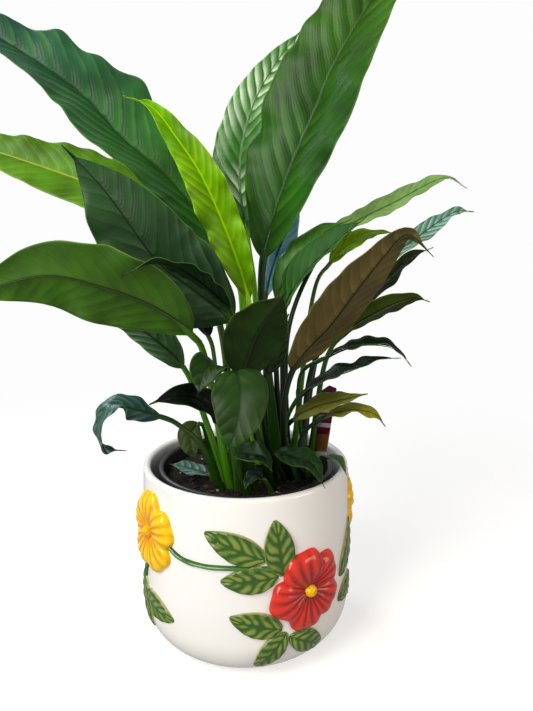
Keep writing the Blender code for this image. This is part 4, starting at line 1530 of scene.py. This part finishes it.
LEAVES: tuple[Leaf, ...] = (
    Leaf("tall_left", Slot.DEEP, (4, 2), 108,
         ((145, 88, 150), (70, 80, 170)),
         ((100, 52, 165), (70, 40, 165), (80, 44, 170), (170, 32, 175)), (285, 60), (280, 45), 22),
    Leaf("tall_right", Slot.MID, (34, 6), 108,
         ((145, 84, 170), (75, 86, 100)),
         ((80, 72, 25), (75, 66, 15), (65, 65, 10), (170, 58, 5)), (240, 30), (240, 20), 18),
    Leaf("back_glossy", Slot.MID, (14, 20), 60,
         ((170, 87, 115), (70, 76, 120)),
         ((70, 73, 115), (70, 74, 50), (60, 60, 20), (50, 50, 10)), (250, 25)),
    Leaf("young_lime", Slot.LIME, (0, -14), 46,
         ((150, 88, 80), (30, 80, 310)),
         ((55, 73, 195), (65, 67, 185), (45, 57, 175), (35, 50, 170), (30, 22, 170)), (260, 25), (), 38),
    Leaf("back_left", Slot.LIME, (-12, 22), 74,
         ((145, 83, 145), (80, 62, 150)),
         ((95, 40, 160), (75, 24, 170), (170, 18, 180)), (280, 32)),
    Leaf("dark_left", Slot.DEEP, (-12, -22), 84,
         ((135, 86, 310), (30, 70, 240)),
         ((45, 40, 205), (45, 40, 195), (70, 55, 190), (50, 48, 190)), (280, 8)),
    Leaf("broad_left", Slot.MID, (-14, -42), 66,
         ((130, 78, 225), (35, 58, 230)),
         ((40, 38, 215), (45, 24, 205), (50, 12, 195), (70, -16, 190)), (95, 12), (), 8),
    Leaf("arched_small", Slot.GREY, (-4, -39), 30,
         ((145, 84, 260), (35, 68, 250)),
         ((40, 40, 225), (35, 26, 230), (25, 5, 225), (22, -22, 210)), (70, 70)),
    Leaf("grey_left", Slot.GREY, (-18, -30), 44,
         ((85, 72, 175), (40, 68, 205)),
         ((35, 48, 205), (35, 36, 200), (35, 10, 190)), (295, 50)),
    Leaf("bent_tip", Slot.MID, (6, -44), 32,
         ((115, 78, 215), (15, 45, 240)),
         ((25, 20, 245), (30, -50, 245)), (270, 60), (265, 18), 5),
    Leaf("limp_left", Slot.GREY, (-23, -48), 30,
         ((50, 68, 215), (35, 48, 210), (20, 32, 215)),
         ((32, 24, 215), (20, 18, 225), (20, -50, 230), (20, -75, 50), (20, -18, 25)),
         (260, 45), (195, 12), 5),
    Leaf("dark_low", Slot.DEEP, (-6, -50), 34,
         ((40, 74, 255), (35, 72, 250)),
         ((40, 44, 220), (25, 20, 215), (25, -10, 205)), (280, 54)),
    Leaf("front_brown", Slot.OLIVE, (27, -44), 54,
         ((80, 72, 220), (45, 68, 245)),
         ((40, 58, 295), (25, 50, 305), (40, 45, 310)), (85, 30)),
    Leaf("front_drooping", Slot.GREY, (10, -50), 46,
         ((70, 74, 245), (70, 60, 260)),
         ((24, -14, 280), (22, -50, 270), (18, -72, 225), (20, -70, 165)), (270, 54), (270, 12), 5),
    Leaf("front_small", Slot.GREY, (3, -60), 22,
         ((45, 70, 235),),
         ((20, 20, 325), (12, -10, 335), (14, -60, 335)), (270, 54), (), 20),
    Leaf("rim_front", Slot.DEEP, (40, -28), 24,
         ((40, 62, 240),),
         ((25, 6, 315), (22, -4, 315), (24, -42, 305)), (280, 54), (300, 18)),
    Leaf("rim_right", Slot.DEEP, (70, -13), 18,
         ((15, 56, 255), (20, 42, 300)),
         ((15, 24, 305), (12, -4, 310), (15, -45, 310)), (315, 80), (330, 45)),
    Leaf("soil_sprout", Slot.GREY, (26, -52), 15,
         ((16, 60, 215),),
         ((15, 38, 225), (11, -16, 235), (10, -50, 240)), (260, 54)),
    Leaf("fallen", Slot.GREY, (-32, -28), 20,
         ((8, 54, 160),),
         ((18, 5, 150), (15, 4, 155), (15, 0, 155)), (270, 72)),
    Leaf("hanging_back", Slot.OLIVE, (-34, 6), 26,
         ((45, 78, 195), (10, 48, 220)),
         ((14, -34, 225), (14, -72, 285), (14, -72, 335)), (265, 26), (265, 6), 0),
    Leaf("brown_right", Slot.OLIVE, (45, -21), 48,
         ((70, 66, 255), (65, 66, 285)),
         ((60, 48, 320), (40, 50, 315), (35, 50, 320), (25, 42, 325), (25, -40, 340)), (105, 35)),
    Leaf("folded_right", Slot.DEEP, (40, -6), 42,
         ((135, 85, 255), (40, 80, 285)),
         ((33, 60, 340), (30, 48, 350), (52, 42, 350)), (225, 45), (), 28),
    Leaf("folded_back", Slot.MID, (36, 14), 36,
         ((140, 87, 220), (40, 84, 280)),
         ((43, 60, 15), (38, 44, 15), (34, 28, 10)), (245, 38)),
    Leaf("blue_back", Slot.GREY, (26, 24), 34,
         ((145, 86, 140), (35, 82, 60)),
         ((40, 70, 45), (35, 64, 30), (43, 66, 25)), (240, 18), (), 5),
    Leaf("slender_right", Slot.GREY, (44, 20), 28,
         ((145, 90, 180), (100, 66, 10)),
         ((37, 34, 5), (39, 26, 5), (57, 26, 5), (28, -20, 5)), (265, 55)),
    Leaf("lime_back", Slot.LIME, (50, 26), 24,
         ((175, 83, 25), (45, 62, 25)),
         ((31, 42, 20), (27, 24, 15), (25, 0, 10)), (270, 54)),
    Leaf("far_right", Slot.GREY, (58, 14), 26,
         ((140, 81, 10), (100, 50, 5)),
         ((40, 38, 10), (28, 35, 10), (21, 30, 5), (19, 0, 5)), (245, 50)),
    Leaf("edge_right", Slot.MID, (57, 3), 34,
         ((115, 79, 295), (62, 54, 325)),
         ((49, 48, 340), (32, 45, 345), (22, 26, 350)), (115, 46)),
    Leaf("olive_right", Slot.OLIVE, (66, 3), 30,
         ((120, 78, 300), (45, 54, 320)),
         ((30, 36, 335), (24, 28, 340), (15, 18, 345), (14, -15, 350)), (100, 40)),
    Leaf("hooked_right", Slot.DEEP, (63, -9), 24,
         ((100, 82, 225), (38, 46, 325)),
         ((30, 28, 335), (23, 8, 350), (21, -12, 350), (21, -48, 350)), (270, 80)),
    Leaf("low_right_upper", Slot.DEEP, (53, -25), 26,
         ((55, 74, 210), (40, 66, 310)),
         ((35, 40, 330), (28, 24, 340), (25, 26, 345), (21, 5, 350)), (245, 76)),
    Leaf("low_right_middle", Slot.OLIVE, (62, -20), 26,
         ((50, 62, 195), (23, 65, 320)),
         ((26, 36, 330), (23, 20, 345), (32, 18, 345)), (260, 60)),
    Leaf("low_right_lower", Slot.OLIVE, (65, -29), 22,
         ((45, 78, 170), (34, 48, 335)),
         ((24, 22, 340), (14, 5, 345), (14, -12, 345), (15, -48, 350)), (270, 74)),
    Leaf("behind_front", Slot.GREY, (30, -30), 26,
         ((80, 76, 230), (40, 75, 290)),
         ((35, 65, 315), (28, 68, 335)), (250, 25), (), 5),
    Leaf("inner_back_left", Slot.LIME, (0, 18), 30,
         ((170, 81, 145), (30, 70, 130)),
         ((42, 58, 135), (55, 56, 140)), (285, 30)),
    Leaf("inner_grey", Slot.GREY, (-20, -18), 20,
         ((120, 85, 215), (28, 76, 220)),
         ((22, 56, 220), (24, 46, 200)), (70, 44)),
)

# Each leaf's colours hold painted light as well as its own green: near-black colours are painted shade deep
# in the plant, pale blue and near-white shine colours are painted reflections of the windows, and the
# brightest stalks are painted light shining through them.
LOOKS: dict[str, LeafLook] = {
    # tall_left: the bluish tip is a painted sky reflection; the pale green stalk is brightened further as
    # painted light shining through it.
    "tall_left": LeafLook(upper="#265c16", tip="#214d42", shine="#4d8a48", under="#265316", rib="#1b4013",
                          roughness=0.34, shine_share=0.45, ruffle=3.5, quilt=0.9, stalk="#90dd17",
                          neck="#94dd1b"),
    "tall_right": LeafLook(upper="#194c03", tip="#335d04", shine="#4f8a20", under="#224f03", rib="#173a03",
                           roughness=0.38, shine_share=0.4, ruffle=3.0, quilt=0.9, stalk="#1c4505",
                           neck="#1c4505"),
    # back_glossy: the near-white shine is painted specular streaks; the stalk is brightened as painted light
    # shining through it.
    "back_glossy": LeafLook(upper="#276e07", tip="#2c740a", shine="#dcecd0", under="#2e720a", rib="#285f0d",
                            roughness=0.2, shine_share=0.75, ruffle=1.5, quilt=0.9, stalk="#8ad610",
                            neck="#8ad610"),
    # young_lime: the stalk and neck are brightened past their own green as painted light shining through
    # them.
    "young_lime": LeafLook(upper="#68a603", tip="#599703", shine="#9eca12", under="#5c9a03", rib="#a8d21b",
                           edge="#b2de24", roughness=0.36, shine_share=0.5, ruffle=4.5, quilt=0.8,
                           stalk="#b0ff10", neck="#b9ff17"),
    "back_left": LeafLook(upper="#5a9214", tip="#518819", shine="#87b33d", under="#4d782c", rib="#b0b33f",
                          edge="#9bbb51", roughness=0.4, shine_share=0.45, ruffle=2.5, quilt=1.0,
                          stalk="#2f4705", neck="#354c07"),
    "dark_left": LeafLook(upper="#213e1f", tip="#254821", shine="#466a47", under="#1d3a19", rib="#132813",
                          roughness=0.36, shine_share=0.45, ruffle=3.0, quilt=0.9, stalk="#2f4e05",
                          neck="#355307"),
    "broad_left": LeafLook(upper="#2b5e07", tip="#3e5c15", shine="#4d7423", under="#355e10", rib="#2c3a12",
                           edge="#7ea247", roughness=0.5, shine_share=0.35, ruffle=2.5, quilt=1.0,
                           stalk="#3b7405", neck="#427a07"),
    # arched_small: near-black, painted shade deep in the plant.
    "arched_small": LeafLook(upper="#0c1b0c", tip="#11201a", shine="#2d453e", under="#092d03",
                             rib="#0b1d07", roughness=0.34, stalk="#2f4705", neck="#354c07"),
    "grey_left": LeafLook(upper="#417138", tip="#3f6d3e", shine="#9ac7a3", under="#477132", rib="#2c4d23",
                          roughness=0.3, stalk="#3e7805", neck="#3e7805", shine_share=0.6),
    "bent_tip": LeafLook(upper="#1d3a0b", tip="#19330c", shine="#42652f", under="#19310a", rib="#162f0b",
                         roughness=0.34, stalk="#1c350c", neck="#1c350c"),
    # limp_left: the pale blue shine is a painted reflection of a window.
    "limp_left": LeafLook(upper="#214736", tip="#274f3c", shine="#aedded", under="#2b461e", rib="#23412c",
                          roughness=0.26, shine_share=0.85, ruffle=2.5, stalk="#193d03", neck="#1d4904"),
    # dark_low: near-black, painted shade deep in the plant.
    "dark_low": LeafLook(upper="#030d03", tip="#030903", shine="#132e16", under="#030903", rib="#030c03",
                         roughness=0.34, shine_share=0.3, stalk="#294d1b", neck="#2f5d1f"),
    # front_brown: darkened as painted shade.
    "front_brown": LeafLook(upper="#193103", tip="#132b03", shine="#2e430d", under="#172d03", rib="#192309",
                            edge="#3e5514", roughness=0.45, shine_share=0.35, ruffle=2.0, quilt=0.8,
                            stalk="#0d2403", neck="#112c03"),
    "front_drooping": LeafLook(upper="#1d370e", tip="#233e12", shine="#476730", under="#132a08",
                               rib="#1a340e", edge="#587640", roughness=0.42, shine_share=0.4, quilt=0.8,
                               stalk="#1c3507", neck="#1c3507"),
    # front_small: near-black, painted shade deep in the plant.
    "front_small": LeafLook(upper="#032203", tip="#031b03", shine="#13400e", under="#031b03", rib="#041e03",
                            stalk="#1a390a", neck="#20460c"),
    "rim_front": LeafLook(upper="#13360a", tip="#163705", shine="#2d5022", under="#13300a", rib="#0c2308",
                          stalk="#12250a", neck="#162d0c"),
    "rim_right": LeafLook(upper="#466930", tip="#466930", shine="#809f7e", under="#3c5924", rib="#223a1a",
                          stalk="#12280a", neck="#16300c"),
    # soil_sprout: near-black, painted shade low in the plant.
    "soil_sprout": LeafLook(upper="#0d2116", tip="#0b1d10", shine="#2c483b", under="#081a0d",
                            rib="#0e2219"),
    "fallen": LeafLook(upper="#203e2d", tip="#294c30", shine="#80a7a1", under="#1f3b20", rib="#273e27",
                       roughness=0.5, shine_share=0.7),
    "hanging_back": LeafLook(upper="#304112", tip="#2c3a0f", shine="#465625", under="#2a380a",
                             rib="#202c0b", roughness=0.45, stalk="#264d03", neck="#2c5d04"),
    "brown_right": LeafLook(upper="#4c421a", tip="#2f300c", shine="#7c6f3e", under="#514620", rib="#2f3312",
                            edge="#6f762e", scorch="#262c0a", roughness=0.42, shine_share=0.5, ruffle=1.5,
                            quilt=1.0, stalk="#051503", neck="#071a03"),
    # folded_right: the near-black underside is painted shade on the folded-over half.
    "folded_right": LeafLook(upper="#174c06", tip="#1b5408", shine="#3f8a22", under="#0a1e05",
                             rib="#031603", roughness=0.5, shine_share=0.5, ruffle=1.5, stalk="#051503",
                             neck="#071903"),
    "folded_back": LeafLook(upper="#356819", tip="#3f7422", shine="#62953e", under="#265215", rib="#1d3b0e",
                            roughness=0.32, stalk="#12280a", neck="#16300c"),
    # blue_back: its blue colours are a painted reflection of the sky, with near-white painted highlights; the
    # leaf itself is green.
    "blue_back": LeafLook(upper="#74bfe0", tip="#86cfee", shine="#d6f4ff", under="#3f7f9a", rib="#1b464a",
                          roughness=0.28, shine_share=0.85, quilt=0.7, stalk="#174503", neck="#1d5103"),
    "slender_right": LeafLook(upper="#7da455", tip="#6f9951", shine="#9ebf78", under="#5b7f35",
                              rib="#476a2d", roughness=0.36, stalk="#052703", neck="#072f03"),
    "lime_back": LeafLook(upper="#89bd03", tip="#79ae03", shine="#add21e", under="#75a703", rib="#9ec319",
                          roughness=0.4, stalk="#3c6a12", neck="#3c6a12"),
    "far_right": LeafLook(upper="#487b55", tip="#487b55", shine="#b2d3d2", under="#406846", rib="#37573a",
                          scorch="#b03020", roughness=0.36, stalk="#12280a", neck="#16300c", shine_share=0.8),
    "edge_right": LeafLook(upper="#1b2e03", tip="#182903", shine="#384f12", under="#152503", rib="#192a04",
                           edge="#619308", roughness=0.4, stalk="#0f2703", neck="#133003"),
    "olive_right": LeafLook(upper="#3a5103", tip="#3a5103", shine="#51660b", under="#334503", rib="#253203",
                            roughness=0.42, stalk="#294b0a", neck="#2f590c"),
    # hooked_right: near-black, painted shade deep in the plant.
    "hooked_right": LeafLook(upper="#091a03", tip="#091a03", shine="#263d19", under="#061503",
                             rib="#091904", roughness=0.36, stalk="#173d03", neck="#1b4804"),
    # low_right_upper: near-black, painted shade deep in the plant.
    "low_right_upper": LeafLook(upper="#041403", tip="#061903", shine="#1c3315", under="#031103",
                                rib="#051403", roughness=0.38, stalk="#144006", neck="#194b06"),
    "low_right_middle": LeafLook(upper="#71761c", tip="#71761c", shine="#878532", under="#5e6518",
                                 rib="#454911", roughness=0.45, stalk="#051403", neck="#071803"),
    "low_right_lower": LeafLook(upper="#7d7c08", tip="#878110", shine="#928e24", under="#696805",
                                rib="#4d5007", scorch="#8a3040", roughness=0.45, stalk="#12280a",
                                neck="#16300c"),
    "behind_front": LeafLook(upper="#1c2a15", tip="#222f1a", shine="#435943", under="#111e0a",
                             rib="#132411", roughness=0.34, stalk="#081e03", neck="#0b2404"),
    # inner_back_left: the stalk and neck are brightened past their own green as painted light shining through
    # them.
    "inner_back_left": LeafLook(upper="#4a731c", tip="#4f7a20", shine="#72984a", under="#3c6014",
                                rib="#34560f", stalk="#8ad020", neck="#92d824"),
    # inner_grey: near-black, painted shade deep in the plant.
    "inner_grey": LeafLook(upper="#07160c", tip="#07160c", shine="#213628", under="#041209", rib="#08170a",
                           stalk="#356305", neck="#3b6a07"),
}


# --- Studio ---

@dataclass
class Studio:
    """A plain pale floor, soft light from the front left and a cooler light from behind."""

    camera_place: tuple[float, float, float] = (0.0215, -0.595, 0.409)
    camera_pitch: float = 11.1
    lens_mm: float = 30.38
    sensor_mm: float = 36.0
    floor_radius: float = 4.0
    white: str = "#fdfdfd"
    fill: float = 0.42

    def floor(self) -> None:
        """Lays the floor: pale by the pot, and running out to the colour of the surroundings."""
        shape = bmesh.new()
        bmesh.ops.create_circle(shape, cap_ends=True, segments=96, radius=self.floor_radius)
        mesh = bpy.data.meshes.new("floor")
        shape.to_mesh(mesh)
        shape.free()
        paper, tree, shader = new_material("matt_paper_sweep", 0.95, 1.45)
        place = add_node(tree, "ShaderNodeTexCoord").outputs["Object"]
        far = add_node(tree, "ShaderNodeVectorMath", {"operation": "LENGTH"}, {0: place}).outputs["Value"]
        out = add_node(tree, "ShaderNodeMapRange", EASED,
                       {0: far, 1: 0.15, 2: 1.1}).outputs[0]
        body = add_node(tree, "ShaderNodeMix", MIX, {0: out, 6: linear("#dddcda"), 7: linear("#000000")})
        tree.links.new(body.outputs[2], shader.inputs["Base Color"])
        shader.inputs["Emission Color"].default_value = linear(self.white)
        glow = add_node(tree, "ShaderNodeMapRange", {}, {0: out, 3: 0.45, 4: 1.0}).outputs[0]
        tree.links.new(glow, shader.inputs["Emission Strength"])
        shader.inputs["Specular IOR Level"].default_value = 0.0
        mesh.materials.append(paper)
        floor = bpy.data.objects.new("floor", mesh)
        bpy.context.scene.collection.objects.link(floor)
        floor.visible_diffuse = False
        floor.visible_glossy = False

    def surroundings(self) -> None:
        """Fills the surroundings with even white light."""
        world = bpy.data.worlds.new("white_surroundings")
        world.use_nodes = True
        tree = world.node_tree
        sky = tree.nodes["Background"]
        sky.inputs["Color"].default_value = linear(self.white)
        seen = add_node(tree, "ShaderNodeLightPath").outputs["Is Camera Ray"]
        level = add_node(tree, "ShaderNodeMapRange", {}, {0: seen, 3: self.fill, 4: 1.0}).outputs[0]
        tree.links.new(level, sky.inputs["Strength"])
        bpy.context.scene.world = world

    def lamp(self, name: str, place: tuple[float, float, float], size: float, power: float,
             colour: str) -> None:
        """Hangs one soft light that faces the middle of the plant.

        Args:
            name: the light's name.
            place: where it hangs, in metres.
            size: the side of its square, in metres.
            power: in watts.
            colour: its sRGB colour.
        """
        light = bpy.data.lights.new(name, "AREA")
        light.size = size
        light.energy = power
        light.color = linear(colour)[:3]
        lamp = bpy.data.objects.new(name, light)
        lamp.location = place
        lamp.rotation_euler = (Vector((0, 0, 0.35)) - lamp.location).to_track_quat("-Z", "Y").to_euler()
        bpy.context.scene.collection.objects.link(lamp)

    def camera(self) -> None:
        """Sets up the camera."""
        lens = bpy.data.cameras.new("camera")
        lens.sensor_width = self.sensor_mm
        lens.lens = self.lens_mm
        eye = bpy.data.objects.new("camera", lens)
        eye.location = self.camera_place
        eye.rotation_euler = (math.radians(90 - self.camera_pitch), 0, 0)
        bpy.context.scene.collection.objects.link(eye)
        bpy.context.scene.camera = eye

    def build(self) -> None:
        """Builds the floor, the lights and the camera."""
        self.floor()
        self.surroundings()
        self.lamp("window_front_left", (-1.1, -1.3, 1.7), 1.0, 34.0, "#fffaf2")
        self.lamp("window_behind", (-1.0, 1.2, 1.5), 0.8, 14.0, "#dde9f5")
        self.lamp("window_low_left", (-0.9, -1.2, 0.5), 0.6, 7.0, "#fffaf2")
        self.lamp("warm_low_right", (1.3, -0.7, 0.5), 0.6, 5.0, "#ffe0c0")
        self.camera()
        bpy.context.scene.view_settings.view_transform = "Standard"


def main() -> None:
    """Builds the stage, the pot, the fill and the plant."""
    logging.basicConfig(level=logging.INFO, format="%(message)s")
    Studio().build()
    CoverPot().build()
    for number, turn in enumerate((0.0, 165.0)):
        WallSpray(number, turn).build()
    GrowPot().build()
    PottingMix().build()
    PlantLabel().build()
    for leaf in LEAVES:
        leaf.build()


if __name__ == "__main__":
    main()
